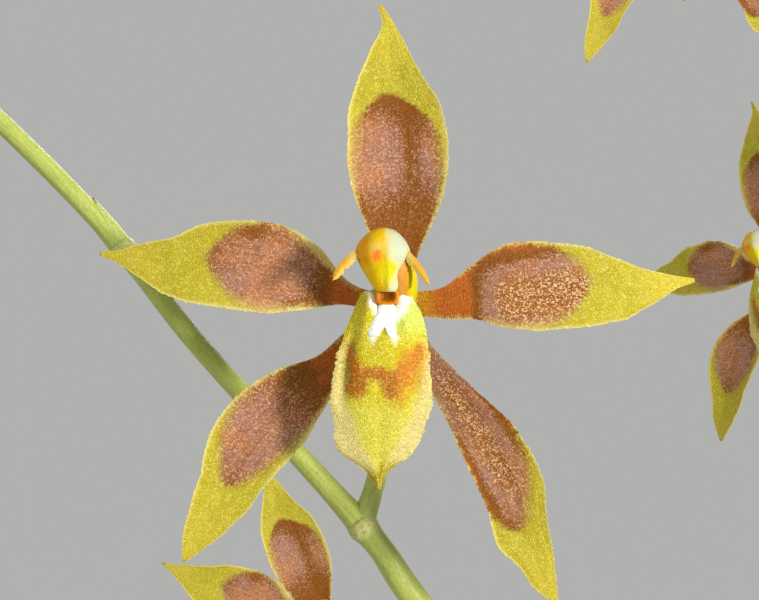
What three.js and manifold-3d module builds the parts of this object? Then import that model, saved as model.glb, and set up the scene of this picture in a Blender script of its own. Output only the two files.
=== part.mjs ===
// A potted Odontoglossum orchid: a clay pot of bark, three pseudobulbs and a new shoot with strap leaves,
// and one arching, branched flower stem that carries star-shaped blooms.
// Millimetres, +Z up. X is to the right and Y away from someone who faces the plant.
// The origin is the centre of the pot's foot, on the surface that the pot stands on.
import * as THREE from "three";
import { mergeVertices } from "three/addons/utils/BufferGeometryUtils.js";
import Module from "manifold-3d";

const wasm = await Module();
wasm.setup();

// Pot and bark
const POT_HEIGHT = 105;
const POT_FOOT_RADIUS = 42;
const POT_RIM_RADIUS = 62;
const POT_RIM_HEIGHT = 21;
const POT_RIM_STEP = 4;
const POT_WALL = 5.5;
const POT_FLOOR = 8;
const POT_SIDES = 36;
const DRAIN_RADIUS = 5.5;
const DRAIN_RING_RADIUS = 21;
const DRAIN_COUNT = 3;
const BARK_LEVEL = 88;
const CHIP_COUNT = 18;
const CHIP_SIZE = [29, 19, 10];
const SEAT_GAP = 0.4;
const LEAF_GAP = 0.7;

// Pseudobulbs: foot position, height, and half-sizes along X (thin) and Y (broad)
const BULBS = [
  { foot: [-31, 7], height: 47, thin: 7.5, broad: 14, turn: 8 },
  { foot: [-12, 2], height: 54, thin: 8.5, broad: 16, turn: -6 },
  { foot: [8, -2], height: 58, thin: 9, broad: 16.5, turn: 5 },
];
const BULB_FOOT_Z = 84;
const BULB_RINGS = 8;
const BULB_SIDES = 12;
const RHIZOME_Z = 80;
const RHIZOME_RADIUS = 3.6;
const ROOT_RADIUS = 1.7;

// Leaves: where each starts, the way it points, how steeply it leaves and droops, and its size
const LEAVES = [
  { bulb: 0, azimuth: 128, rise: 72, droop: -12, length: 178, width: 20 },
  { bulb: 1, azimuth: 74, rise: 76, droop: -8, length: 208, width: 22 },
  { bulb: 1, azimuth: -120, rise: 70, droop: -28, length: 196, width: 22 },
  { bulb: 2, azimuth: 50, rise: 74, droop: -16, length: 226, width: 23 },
  { bulb: 2, azimuth: -84, rise: 68, droop: -34, length: 214, width: 23 },
  { foot: [-41, -5, 86], azimuth: -158, rise: 66, droop: -22, length: 150, width: 18 },
  { foot: [9, -24, 86], azimuth: -110, rise: 62, droop: -30, length: 138, width: 18 },
  { foot: [33, 9, 85], azimuth: 16, rise: 70, droop: -6, length: 168, width: 19 },
  { foot: [36, -2, 85], azimuth: -38, rise: 64, droop: -24, length: 146, width: 18 },
  { foot: [28, 15, 85], azimuth: 84, rise: 78, droop: 20, length: 124, width: 15 },
];
const LEAF_STATIONS = [0, 0.08, 0.2, 0.34, 0.5, 0.66, 0.8, 0.92, 1];
const LEAF_HALF_WIDTH = [0.24, 0.3, 0.58, 0.86, 1, 0.98, 0.8, 0.42, 0.06];
const LEAF_FOLD = [0.6, 0.7, 0.68, 0.5, 0.36, 0.3, 0.3, 0.32, 0.35];
const LEAF_MID_THICKNESS = 1.5;
const LEAF_EDGE_THICKNESS = 0.8;

// Flower stem: each curve passes through its knots, and blooms and buds sit on the knots.
// Its radius tapers between the shares of its run that are given.
const STEMS = {
  scape: {
    knots: [
      [19, -12, 80], [21, -12, 120], [21, -12, 165], [18, -13, 210], [11, -16, 252], [-2, -21, 291],
      [-22, -26.5, 325], [-40, -29.6, 349], [-54.2, -31.4, 368], [-59.9, -32, 376], [-77, -32.3, 394.9],
      [-88.3, -33, 409], [-105, -34, 425], [-122, -35, 437], [-140, -36, 448], [-158, -37, 457],
      [-174, -38, 462], [-188, -39, 464],
    ],
    taper: { at: [0, 0.3, 0.5, 0.56, 1], radius: [2.6, 1.9, 1.4, 1.1, 0.85] },
  },
  rightBranch: {
    knots: [
      [11, -16, 252], [20, 12, 290], [27, 44, 325], [29, 78, 356], [28, 110, 383],
      [27, 134, 415], [21, 150, 448], [12, 160, 472], [3, 167, 492],
    ],
    taper: { at: [0, 1], radius: [1.5, 0.8] },
  },
  leftBranch: {
    knots: [
      [-2, -21, 291], [-14, 8, 297], [-30, 40, 301], [-48, 70, 303], [-63, 99, 305],
      [-80, 119, 306], [-96, 132, 306], [-109, 141, 307],
    ],
    taper: { at: [0, 1], radius: [1.4, 0.8] },
  },
};
const STEM_SIDES = 6;
const PEDICEL_SIDES = 5;
const PEDICEL_STEPS = [0.09, 0.2, 0.5];
const PEDICEL_RADII = [1.3, 1.9, 1.0, 1.1, 1.4, 1.4];
const BRACT_LENGTH = 5;

// Blooms: the stem knot that carries each, the place of its centre, and how it is turned, in degrees.
// Azimuth 0 faces -Y, pitch tips the face down, and roll turns the bloom clockwise as seen from its front.
// Lean swings the dorsal sepal anticlockwise.
const BLOOMS = [
  { stem: "scape", knot: 9, at: [-56.65, -45, 399.7], azimuth: 0, pitch: 0, roll: 0, lean: 0 },
  { stem: "scape", knot: 13, at: [-129, -56, 461], azimuth: -22, pitch: 6, roll: -8, lean: 4 },
  { stem: "scape", knot: 14, at: [-155, -14, 431], azimuth: -148, pitch: 8, roll: 6, lean: -5 },
  { stem: "scape", knot: 15, at: [-178, -60, 436], azimuth: -58, pitch: 12, roll: -4, lean: 6 },
  { stem: "rightBranch", knot: 4, at: [11, 96, 405], azimuth: -42, pitch: 2, roll: -12, lean: 0 },
  { stem: "rightBranch", knot: 5, at: [46, 148, 440], azimuth: 118, pitch: 8, roll: 5, lean: -6 },
  { stem: "rightBranch", knot: 6, at: [-1, 137, 475], azimuth: -6, pitch: 0, roll: -8, lean: 3 },
  { stem: "leftBranch", knot: 4, at: [-67, 86, 344], azimuth: -4, pitch: 2, roll: 14, lean: 33 },
  { stem: "leftBranch", knot: 5, at: [-82, 143, 279], azimuth: -172, pitch: 10, roll: 8, lean: -4 },
];
const BUDS = [
  { stem: "scape", knot: 16, toward: [-4, -13, 9], size: 1 },
  { stem: "scape", knot: 17, toward: [-12, -3, 6], size: 0.8 },
  { stem: "rightBranch", knot: 7, toward: [9, 6, 12], size: 1 },
  { stem: "rightBranch", knot: 8, toward: [-6, 5, 10], size: 0.8 },
  { stem: "leftBranch", knot: 6, toward: [-6, -11, 7], size: 1 },
  { stem: "leftBranch", knot: 7, toward: [-11, 6, 4], size: 0.8 },
];
const BUD_LENGTH = 11;
const BUD_RADIUS = 2.9;

// One bloom, seen from its front with the dorsal sepal up. Angles run from the viewer's right.
// Each tepal has its half-widths, and how far its midrib bows to the viewer's right of its straight axis.
const TEPAL_STATIONS = [0, 0.16, 0.33, 0.5, 0.68, 0.85, 1];
const TEPALS = {
  dorsal: {
    angle: 92.5, length: 29.8, arch: 1.4, reflex: 1.8, cup: 0.9, tilt: 0.03,
    halfWidth: [1.4, 2.2, 4.1, 5.0, 4.1, 1.7, 0.35],
    bow: [0, 0.6, 1.1, 1.2, 1.0, 0.75, 0],
  },
  leftPetal: {
    angle: 170.4, length: 30, arch: 1.8, reflex: 0.8, cup: 0.8, tilt: -0.08,
    halfWidth: [1.2, 1.6, 4.0, 4.6, 3.8, 1.8, 0.35],
    bow: [0, 0.5, 1.3, 1.25, 0.55, 0.05, 0],
  },
  rightPetal: {
    angle: 4.3, length: 30.5, arch: 1.8, reflex: 0.6, cup: 0.9, tilt: 0.1,
    halfWidth: [1.2, 1.7, 3.9, 4.45, 3.7, 1.7, 0.35],
    bow: [0, 0.2, -0.7, -0.55, 0.05, 0.35, 0],
  },
  leftSepal: {
    angle: 231, length: 33.8, arch: 0.8, reflex: 2.2, cup: 0.8, tilt: 0.16,
    halfWidth: [1.3, 1.7, 2.9, 4.0, 3.55, 2.1, 0.35],
    bow: [0, 0.3, 1.4, 2.2, 1.85, 0.8, 0],
  },
  rightSepal: {
    angle: 298.7, length: 34.8, arch: 0.8, reflex: 2.6, cup: 0.5, tilt: -0.42,
    halfWidth: [1.3, 1.5, 2.25, 3.05, 3.05, 1.9, 0.35],
    bow: [0, -0.2, -1.1, -1.8, -1.15, -0.25, 0],
  },
};
const TEPAL_ROOT_RADIUS = 0.8;
const TEPAL_ROOT_DEPTH = 1.2;
const TEPAL_MID_THICKNESS = 1;
const TEPAL_EDGE_THICKNESS = 0.65;
const RECEPTACLE_RADIUS = 2.6;
const RECEPTACLE_NECK = 1.7;
const RECEPTACLE_LENGTH = 3;

const LIP = {
  stations: [0, 0.12, 0.32, 0.55, 0.72, 0.86, 0.93, 1],
  halfWidth: [2.7, 3.9, 4.7, 5.1, 4.3, 2.6, 0.8, 0.35],
  top: 0.7,
  tip: -18.7,
  forward: [4.4, 3.2],
  middle: [-0.7, -1.4],
  roll: -1.7,
};
const CLAW = { up: -1.5, halfWidth: 1.3, halfHeight: 0.75 };
const CALLUS_LENGTH = 4.2;
const COLUMN = {
  path: [[0, 0.35, 1.0], [0, 1.4, 1.0], [-1.0, 5.9, 5.7]],
  radii: [1.2, 1.4, 2.1],
  capTop: 7.6,
  capBeak: 1.8,
  capHalfWidth: 2.6,
  capForward: 6.9,
  wingRoot: [2.0, 5.7, 5.0],
  wingTip: [4.9, 6.6, 1.9],
};

const TURN = Math.PI / 180;
const UP = new THREE.Vector3(0, 0, 1);

const vec = (a) => new THREE.Vector3(...a);
const mix = (a, b, t) => a + (b - a) * t;

// The same numbers on every run, for the chips' places and turns
function seededRandom(seed) {
  let state = seed;
  return () => {
    state = (state * 1664525 + 1013904223) % 4294967296;
    return state / 4294967296;
  };
}

// Value at x on straight lines through (stations[i], values[i])
function along(stations, values, x) {
  let i = 1;
  while (i < stations.length - 1 && x > stations[i]) i += 1;
  const t = (x - stations[i - 1]) / (stations[i] - stations[i - 1]);
  return mix(values[i - 1], values[i], t);
}

function geometryOf(points, faces) {
  const geometry = new THREE.BufferGeometry().setFromPoints(points);
  geometry.setIndex(faces.flat());
  return geometry;
}

// Closed skin over rings of points. Each ring runs anticlockwise as seen from the rings after it.
function loft(rings) {
  const n = rings[0].length;
  const points = rings.flat();
  const faces = [];
  for (let k = 0; k + 1 < rings.length; k += 1) {
    for (let i = 0; i < n; i += 1) {
      const a = k * n + i;
      const b = k * n + ((i + 1) % n);
      faces.push([a, b, b + n], [a, b + n, a + n]);
    }
  }
  const last = (rings.length - 1) * n;
  for (let i = 1; i + 1 < n; i += 1) {
    faces.push([0, i + 1, i], [last, last + i, last + i + 1]);
  }
  return geometryOf(points, faces);
}

// Closed blade between a front and a back grid of points. Both faces are split along the same diagonals.
// Rows run from root to tip, and columns from left to right as seen from the front with the tip up.
function blade(front, back) {
  const rows = front.length;
  const columns = front[0].length;
  const points = [...front.flat(), ...back.flat()];
  const at = (k, j) => k * columns + j;
  const behind = rows * columns;
  const faces = [];
  for (let k = 0; k + 1 < rows; k += 1) {
    for (let j = 0; j + 1 < columns; j += 1) {
      const [a, b, c, d] = [at(k, j), at(k, j + 1), at(k + 1, j + 1), at(k + 1, j)];
      faces.push([a, b, c], [a, c, d]);
      faces.push([behind + a, behind + c, behind + b], [behind + a, behind + d, behind + c]);
    }
  }
  const rim = (a, b) => faces.push([a, behind + b, b], [a, behind + a, behind + b]);
  for (let j = 0; j + 1 < columns; j += 1) {
    rim(at(0, j), at(0, j + 1));
    rim(at(rows - 1, j + 1), at(rows - 1, j));
  }
  for (let k = 0; k + 1 < rows; k += 1) {
    rim(at(k + 1, 0), at(k, 0));
    rim(at(k, columns - 1), at(k + 1, columns - 1));
  }
  return geometryOf(points, faces);
}

// Round, closed tube through the points, with a radius for each
function tube(points, radii, sides) {
  const start = points[1].clone().sub(points[0]).normalize();
  const right = Math.abs(start.x) < 0.8 ? new THREE.Vector3(1, 0, 0) : new THREE.Vector3(0, 1, 0);
  const rings = points.map((point, k) => {
    const before = points[Math.max(k - 1, 0)];
    const after = points[Math.min(k + 1, points.length - 1)];
    const forward = new THREE.Vector3().subVectors(after, before).normalize();
    right.addScaledVector(forward, -right.dot(forward)).normalize();
    const over = new THREE.Vector3().crossVectors(forward, right);
    return Array.from({ length: sides }, (_, i) => {
      const angle = (2 * Math.PI * i) / sides;
      return point
        .clone()
        .addScaledVector(right, radii[k] * Math.cos(angle))
        .addScaledVector(over, radii[k] * Math.sin(angle));
    });
  });
  return loft(rings);
}

// Points along a smooth curve through the knots, with a number of steps between each two
function curvePoints(knots, steps) {
  const curve = new THREE.CatmullRomCurve3(knots.map(vec), false, "catmullrom", 0.5);
  return curve.getPoints((knots.length - 1) * steps);
}

// The same points with both ends moved outwards
function lengthened(points, by) {
  const moved = (end, next) => end.clone().add(end.clone().sub(next).setLength(by));
  return [moved(points[0], points[1]), ...points.slice(1, -1), moved(points.at(-1), points.at(-2))];
}

function solidOf(geometry) {
  const bare = geometry.clone();
  bare.deleteAttribute("normal");
  bare.deleteAttribute("uv");
  const merged = mergeVertices(bare, 1e-4);
  return new wasm.Manifold(
    new wasm.Mesh({
      numProp: 3,
      vertProperties: merged.attributes.position.array,
      triVerts: new Uint32Array(merged.index.array),
    }),
  );
}

// Largest body of a solid, as a geometry. Loose scraps that a cut leaves are dropped.
function geometryFrom(solid) {
  const largest = solid.decompose().reduce((a, b) => (b.volume() > a.volume() ? b : a));
  const mesh = largest.getMesh();
  const geometry = new THREE.BufferGeometry();
  geometry.setAttribute("position", new THREE.BufferAttribute(mesh.vertProperties, 3));
  geometry.setIndex(new THREE.BufferAttribute(mesh.triVerts, 1));
  return geometry;
}

const fuse = (solids) => solids.reduce((all, one) => all.add(one));

// Clay pot: an outer wall with a stepped rim, an open inside, and drain holes through the floor
function potSolid() {
  const rimFoot = POT_HEIGHT - POT_RIM_HEIGHT;
  const wallTop = POT_RIM_RADIUS - POT_RIM_STEP;
  const profile = [
    [0, 0],
    [POT_FOOT_RADIUS, 0],
    [wallTop - 1.5, rimFoot],
    [POT_RIM_RADIUS - 0.8, rimFoot],
    [POT_RIM_RADIUS, POT_HEIGHT - 1.5],
    [POT_RIM_RADIUS - 1.5, POT_HEIGHT],
    [insideRadius(POT_HEIGHT), POT_HEIGHT],
    [insideRadius(POT_FLOOR), POT_FLOOR],
    [0, POT_FLOOR],
  ].map(([r, z]) => new THREE.Vector2(r, z));
  const wall = new THREE.LatheGeometry(profile, POT_SIDES).rotateX(Math.PI / 2);
  let pot = solidOf(wall);
  for (let i = 0; i < DRAIN_COUNT; i += 1) {
    const angle = (2 * Math.PI * (i + 0.25)) / DRAIN_COUNT;
    const hole = new THREE.CylinderGeometry(DRAIN_RADIUS, DRAIN_RADIUS, 3 * POT_FLOOR, 16)
      .rotateX(Math.PI / 2)
      .translate(DRAIN_RING_RADIUS * Math.cos(angle), DRAIN_RING_RADIUS * Math.sin(angle), 0);
    pot = pot.subtract(solidOf(hole));
  }
  return pot;
}

// Radius of the pot's inside at a height above its floor
function insideRadius(z) {
  const low = POT_FOOT_RADIUS - POT_WALL;
  const high = POT_RIM_RADIUS - POT_WALL - 1.5;
  return mix(low, high, (z - POT_FLOOR) / (POT_HEIGHT - POT_FLOOR));
}

// What the bark fills: the pot's inside up to a height, clear of the wall
function potFilling(top) {
  const bottom = POT_FLOOR + SEAT_GAP;
  const profile = [
    [0, bottom],
    [insideRadius(bottom) - SEAT_GAP, bottom],
    [insideRadius(top) - SEAT_GAP, top],
    [0, top],
  ].map(([r, z]) => new THREE.Vector2(r, z));
  return solidOf(new THREE.LatheGeometry(profile, POT_SIDES).rotateX(Math.PI / 2));
}

// Bark chips over the whole top, kept inside the pot's wall, with a hole for each thing that stands in them
function barkSolid(holes) {
  const random = seededRandom(11);
  const goldenAngle = Math.PI * (3 - Math.sqrt(5));
  const chips = Array.from({ length: CHIP_COUNT }, (_, i) => {
    const radius = (insideRadius(BARK_LEVEL) - 5) * Math.sqrt((i + 0.5) / CHIP_COUNT);
    const turns = new THREE.Euler(
      (random() - 0.5) * 0.9,
      (random() - 0.5) * 0.9,
      random() * 2 * Math.PI,
    );
    const scale = CHIP_SIZE.map((size) => size * mix(0.75, 1.3, random()));
    const chip = new THREE.BoxGeometry(...scale);
    chip.applyMatrix4(new THREE.Matrix4().makeRotationFromEuler(turns));
    return chip.translate(
      radius * Math.cos(i * goldenAngle),
      radius * Math.sin(i * goldenAngle),
      BARK_LEVEL - 0.5 + 2 * random(),
    );
  });
  const heap = fuse([potFilling(BARK_LEVEL), ...chips.map(solidOf)]);
  return holes.reduce((bark, hole) => bark.subtract(hole), heap.intersect(potFilling(POT_HEIGHT - 2)));
}

// Pseudobulb: a flattened egg with shallow furrows, narrowing to the top where its leaves stand
function bulbSolid({ foot, height, thin, broad, turn }, grow = 0) {
  const rings = Array.from({ length: BULB_RINGS }, (_, k) => {
    const t = k / (BULB_RINGS - 1);
    const swell = Math.sin(Math.PI * mix(0.2, 0.9, t)) ** 0.85;
    const z = BULB_FOOT_Z + t * height + (k === 0 ? -grow : 0);
    return Array.from({ length: BULB_SIDES }, (_, i) => {
      const angle = (2 * Math.PI * i) / BULB_SIDES;
      const furrow = i % 2 ? 1 : 0.96;
      const local = new THREE.Vector3(
        (thin * swell * furrow + grow) * Math.cos(angle),
        (broad * swell * furrow + grow) * Math.sin(angle),
        0,
      );
      return local.applyAxisAngle(UP, turn * TURN).add(new THREE.Vector3(foot[0], foot[1], z));
    });
  });
  return solidOf(loft(rings));
}

// Rhizome under the bulbs, with pale roots that loop over the bark and dive back in
function rhizomeSolid(grow = 0) {
  const creeping = [[-40, 8], [-22, 5], [-2, 0], [22, 2], [37, 6]].map(([x, y]) => [x, y, RHIZOME_Z]);
  const roots = [
    [[-22, 6, 80], [-27, 20, 90], [-36, 30, 93], [-41, 25, 84]],
    [[-2, 0, 80], [-2, -16, 88], [-14, -33, 93.5], [-28, -38, 84]],
    [[18, 2, 80], [17, 18, 90], [8, 34, 94], [-6, 42, 84]],
    [[22, 2, 80], [27, -10, 91], [22, -30, 94], [9, -42, 84]],
    [[34, 5, 80], [43, 3, 91], [46, -10, 92], [40, -22, 84]],
  ];
  const cord = (knots, steps, radius, sides) => {
    const points = lengthened(curvePoints(knots, steps), grow);
    return solidOf(tube(points, points.map(() => radius + grow), sides));
  };
  return fuse([cord(creeping, 1, RHIZOME_RADIUS, 7), ...roots.map((knots) => cord(knots, 2, ROOT_RADIUS, 5))]);
}

// Where a leaf starts: on the ground for a sheath leaf, or just above its bulb's top
function leafFoot(leaf, heading) {
  if (leaf.foot) return vec(leaf.foot);
  const bulb = BULBS[leaf.bulb];
  const top = new THREE.Vector3(...bulb.foot, BULB_FOOT_Z + bulb.height + LEAF_GAP);
  return top.addScaledVector(heading, 3.4);
}

// Strap leaf: it leaves steeply, folded along its midrib, then opens out and arches over
function leafSolid(leaf, grow = 0) {
  const heading = new THREE.Vector3(Math.cos(leaf.azimuth * TURN), Math.sin(leaf.azimuth * TURN), 0);
  const across = new THREE.Vector3().crossVectors(heading, UP);
  const place = leafFoot(leaf, heading);
  const front = [];
  const back = [];
  let reached = 0;
  LEAF_STATIONS.forEach((station, k) => {
    const middle = (reached + station) / 2;
    const climb = mix(leaf.rise, leaf.droop, middle ** 1.25) * TURN;
    const step = k === 0 ? -grow : (station - reached) * leaf.length;
    place.addScaledVector(heading, step * Math.cos(climb)).addScaledVector(UP, step * Math.sin(climb));
    reached = station;
    const here = mix(leaf.rise, leaf.droop, station ** 1.25) * TURN;
    const upper = heading.clone().multiplyScalar(-Math.sin(here)).addScaledVector(UP, Math.cos(here));
    const halfWidth = (leaf.width / 2) * LEAF_HALF_WIDTH[k] + grow;
    const point = (q, surface) => {
      const thickness = mix(LEAF_MID_THICKNESS, LEAF_EDGE_THICKNESS, Math.abs(q)) / 2 + grow;
      return place
        .clone()
        .addScaledVector(across, q * halfWidth)
        .addScaledVector(upper, Math.abs(q) * halfWidth * LEAF_FOLD[k] + surface * thickness);
    };
    front.push([-1, 0, 1].map((q) => point(q, 1)));
    back.push([-1, 0, 1].map((q) => point(q, -1)));
  });
  return solidOf(blade(front, back));
}

// Turn and place of a bloom, from its own frame (front -Y, dorsal sepal up) into the plant's
function bloomMatrix({ at, azimuth, pitch, roll }) {
  return new THREE.Matrix4()
    .makeTranslation(...at)
    .multiply(new THREE.Matrix4().makeRotationZ(azimuth * TURN))
    .multiply(new THREE.Matrix4().makeRotationX(pitch * TURN))
    .multiply(new THREE.Matrix4().makeRotationY(roll * TURN));
}

// Stalk of one bloom: it leaves the stem upwards, then bends forward into the back of the bloom
function pedicelSolid(bloom) {
  const matrix = bloomMatrix(bloom);
  const foot = vec(STEMS[bloom.stem].knots[bloom.knot]);
  const back = new THREE.Vector3(0, RECEPTACLE_LENGTH + SEAT_GAP, 0).applyMatrix4(matrix);
  const behind = new THREE.Vector3(0, RECEPTACLE_LENGTH + 11, 0).applyMatrix4(matrix);
  const neck = new THREE.Vector3(0, RECEPTACLE_LENGTH + 2.5, 0).applyMatrix4(matrix);
  const rise = foot.clone().addScaledVector(UP, 8).lerp(behind, 0.3);
  const curve = new THREE.CubicBezierCurve3(foot, rise, behind, neck);
  const points = [...[0, ...PEDICEL_STEPS, 1].map((t) => curve.getPoint(t)), back];
  return solidOf(tube(points, PEDICEL_RADII, PEDICEL_SIDES));
}

// Small sheathing scale on the stem, by itself where a node carries no bloom
function bractSolid(foot, toward) {
  const direction = toward.clone().sub(foot).normalize();
  const points = [-0.2, 0.4, 1].map((t) => foot.clone().addScaledVector(direction, t * BRACT_LENGTH));
  return solidOf(tube(points, [1.2, 1.7, 1.1], PEDICEL_SIDES));
}

// Closed bud on a short stalk
function budSolid({ stem, knot, toward, size }) {
  const foot = vec(STEMS[stem].knots[knot]);
  const reach = vec(toward).multiplyScalar(size);
  const bud = (BUD_LENGTH * size) / reach.length();
  const points = [0, 0.3, 1, 1 + 0.3 * bud, 1 + 0.6 * bud, 1 + bud];
  const radii = [1.3, 1.1, 1, BUD_RADIUS * size, 0.8 * BUD_RADIUS * size, 0.3];
  return solidOf(tube(points.map((t) => foot.clone().addScaledVector(reach, t)), radii, PEDICEL_SIDES));
}

// The whole green spray: the scape and its branches, stalks, bracts and buds
function sprayParts() {
  const axes = Object.values(STEMS).map(({ knots, taper }) => {
    const points = curvePoints(knots, 2);
    const radii = points.map((_, k) => along(taper.at, taper.radius, k / (points.length - 1)));
    return solidOf(tube(points, radii, STEM_SIDES));
  });
  const bareNode = bractSolid(vec(STEMS.scape.knots[11]), vec(STEMS.scape.knots[12]));
  return [...axes, bareNode, ...BLOOMS.map(pedicelSolid), ...BUDS.map(budSolid)];
}

// One sepal or petal, in the bloom's frame
function tepalSolid({ angle, length, halfWidth, bow, arch, reflex, cup, tilt }) {
  const widest = Math.max(...halfWidth);
  const out = [Math.cos(angle * TURN), Math.sin(angle * TURN)];
  const side = [out[1], -out[0]];
  const grid = (surface) =>
    TEPAL_STATIONS.map((s, k) =>
      [-1, 0, 1].map((q) => {
        const reach = mix(TEPAL_ROOT_RADIUS, length, s);
        const lateral = bow[k] + q * halfWidth[k];
        const thickness = mix(TEPAL_MID_THICKNESS, TEPAL_EDGE_THICKNESS, Math.abs(q));
        const forward =
          -TEPAL_ROOT_DEPTH +
          arch * Math.sin(Math.PI * s) -
          reflex * s ** 3 +
          (cup * q * q * halfWidth[k]) / widest +
          tilt * q * halfWidth[k] +
          (surface * thickness) / 2;
        return new THREE.Vector3(
          out[0] * reach + side[0] * lateral,
          -forward,
          out[1] * reach + side[1] * lateral,
        );
      }),
    );
  return solidOf(blade(grid(1), grid(-1)));
}

function receptacleSolid() {
  const back = new THREE.Vector3(0, RECEPTACLE_LENGTH, 0);
  const waist = new THREE.Vector3(0, 0.45 * RECEPTACLE_LENGTH, 0);
  const front = new THREE.Vector3(0, 0, 0);
  const radii = [RECEPTACLE_NECK, RECEPTACLE_RADIUS, RECEPTACLE_RADIUS];
  return solidOf(tube([back, waist, front], radii, 7));
}

// The five tepals on their receptacle, with the dorsal sepal swung over by an angle
function tepalsSolid(lean) {
  const dorsal = { ...TEPALS.dorsal, angle: TEPALS.dorsal.angle + lean };
  return fuse([receptacleSolid(), ...Object.values({ ...TEPALS, dorsal }).map(tepalSolid)]);
}

// Forward reach of the lip's surface at s from its top to its tip, and q across it
function lipForward(s, q) {
  const bulge = 1.3 * Math.sin(Math.PI * s ** 0.7);
  return mix(...LIP.forward, s) + bulge + LIP.roll * q * q * (1 - 0.35 * s);
}

// Lip: a hanging blade with its sides rolled back, a claw to the bloom's centre, and a raised callus
function lipSolid() {
  const grid = (surface) =>
    LIP.stations.map((s, k) =>
      [-1, -0.5, 0, 0.5, 1].map((q) => {
        const notch = k === 0 ? 1.6 * (1 - Math.abs(q)) : 0;
        return new THREE.Vector3(
          mix(...LIP.middle, s) - q * LIP.halfWidth[k],
          -(lipForward(s, q) + (surface * mix(0.9, 0.65, Math.abs(q))) / 2),
          mix(LIP.top, LIP.tip, s) - notch,
        );
      }),
    );
  const claw = new THREE.BoxGeometry(2 * CLAW.halfWidth, lipForward(0.1, 0) - SEAT_GAP, 2 * CLAW.halfHeight);
  claw.translate(LIP.middle[0] / 2, -(SEAT_GAP + lipForward(0.1, 0)) / 2, CLAW.up);
  return fuse([solidOf(blade(grid(1), grid(-1))), solidOf(claw), ...callusSolids()]);
}

// White callus: a ridge below the column that splits into two spreading teeth
function callusSolids() {
  const top = LIP.top - 1.9;
  const at = (across, t) => {
    const down = top - t * CALLUS_LENGTH;
    const s = (LIP.top - down) / (LIP.top - LIP.tip);
    return new THREE.Vector3(LIP.middle[0] + across, -(lipForward(s, 0) + 0.35), down);
  };
  const tooth = (sign) => tube([at(0.2 * sign, 0), at(1.4 * sign, 1)], [0.95, 0.75], 4);
  return [tooth(-1), tooth(1)].map(solidOf);
}

// Column: a club that rises forward from the centre, its anther cap with a beak, and two drooping wings
function columnSolid() {
  const forwardUp = ([right, forward, up]) => new THREE.Vector3(right, -forward, up);
  const club = tube(COLUMN.path.map(forwardUp), COLUMN.radii, 6);
  const lean = COLUMN.path.at(-1)[0];
  const capShare = [0.45, 0.95, 1, 0.7, 0.3];
  const cap = tube(
    capShare.map((share, k) => {
      const t = k / (capShare.length - 1);
      const forward = COLUMN.capForward - 0.9 * (1 - share) - 0.8 * t;
      return forwardUp([lean, forward, mix(COLUMN.capTop, COLUMN.capBeak, t)]);
    }),
    capShare.map((share) => share * COLUMN.capHalfWidth),
    6,
  );
  const wing = (sign) => {
    const root = forwardUp([lean + sign * (COLUMN.wingRoot[0] - 0.8), COLUMN.wingRoot[1], COLUMN.wingRoot[2]]);
    const tip = forwardUp([lean + sign * COLUMN.wingTip[0], COLUMN.wingTip[1], COLUMN.wingTip[2]]);
    const bend = root.clone().lerp(tip, 0.5).add(new THREE.Vector3(sign * 0.5, 0, 0.5));
    return tube([root, bend, tip], [0.8, 0.75, 0.4], 4);
  };
  return fuse([club, cap, wing(-1), wing(1)].map(solidOf));
}

const MATERIALS = Object.fromEntries(
  Object.entries({
    clay: [0xb5653f, 0.9],
    bark: [0x5a3a26, 0.95],
    bulb: [0x7d9440, 0.5],
    root: [0xc9c7a8, 0.7],
    leaf: [0x4f7a2c, 0.45],
    stem: [0x8aa044, 0.5],
    tepal: [0xa8743a, 0.5],
    lip: [0xc8bf45, 0.5],
    column: [0xeedc8a, 0.45],
  }).map(([name, [color, roughness]]) => [
    name,
    new THREE.MeshStandardMaterial({ color, roughness, metalness: 0 }),
  ]),
);

const plant = new THREE.Group();

function addNode(name, geometry, material, parent = plant) {
  geometry.computeVertexNormals();
  const mesh = new THREE.Mesh(geometry, MATERIALS[material]);
  mesh.name = name;
  parent.add(mesh);
}

const scapeFoot = lengthened(curvePoints(STEMS.scape.knots, 2).slice(0, 3), SEAT_GAP);
const holes = [
  ...BULBS.map((bulb) => bulbSolid(bulb, SEAT_GAP)),
  rhizomeSolid(SEAT_GAP),
  ...LEAVES.filter((leaf) => leaf.foot).map((leaf) => leafSolid(leaf, SEAT_GAP)),
  solidOf(tube(scapeFoot, scapeFoot.map(() => STEMS.scape.taper.radius[0] + SEAT_GAP), STEM_SIDES)),
];

addNode("pot", geometryFrom(potSolid()), "clay");
addNode("bark", geometryFrom(barkSolid(holes)), "bark");
addNode("rhizome_roots", geometryFrom(rhizomeSolid()), "root");
BULBS.forEach((bulb, i) => addNode(`pseudobulb_${i + 1}`, geometryFrom(bulbSolid(bulb)), "bulb"));
LEAVES.forEach((leaf, i) => addNode(`leaf_${i + 1}`, geometryFrom(leafSolid(leaf)), "leaf"));
addNode("flower_stem", geometryFrom(fuse(sprayParts())), "stem");

const lip = geometryFrom(lipSolid());
const column = geometryFrom(columnSolid());
BLOOMS.forEach((bloom, i) => {
  const whole = new THREE.Group();
  whole.applyMatrix4(bloomMatrix(bloom));
  addNode(`bloom_${i + 1}_tepals`, geometryFrom(tepalsSolid(bloom.lean)), "tepal", whole);
  addNode(`bloom_${i + 1}_lip`, lip.clone(), "lip", whole);
  addNode(`bloom_${i + 1}_column`, column.clone(), "column", whole);
  plant.add(whole);
});

export default plant;
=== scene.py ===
# A potted Odontoglossum orchid: a clay pot of bark, three pseudobulbs and a new shoot with strap leaves,
# and one arching, branched flower stem of star-shaped yellow blooms blotched with brown.
# Shapes are written in millimetres, +Z up, and mesh_object() places them in metres.
import math
import random

import bmesh
import bpy
import numpy as np
from mathutils import Matrix, Vector, noise


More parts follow.
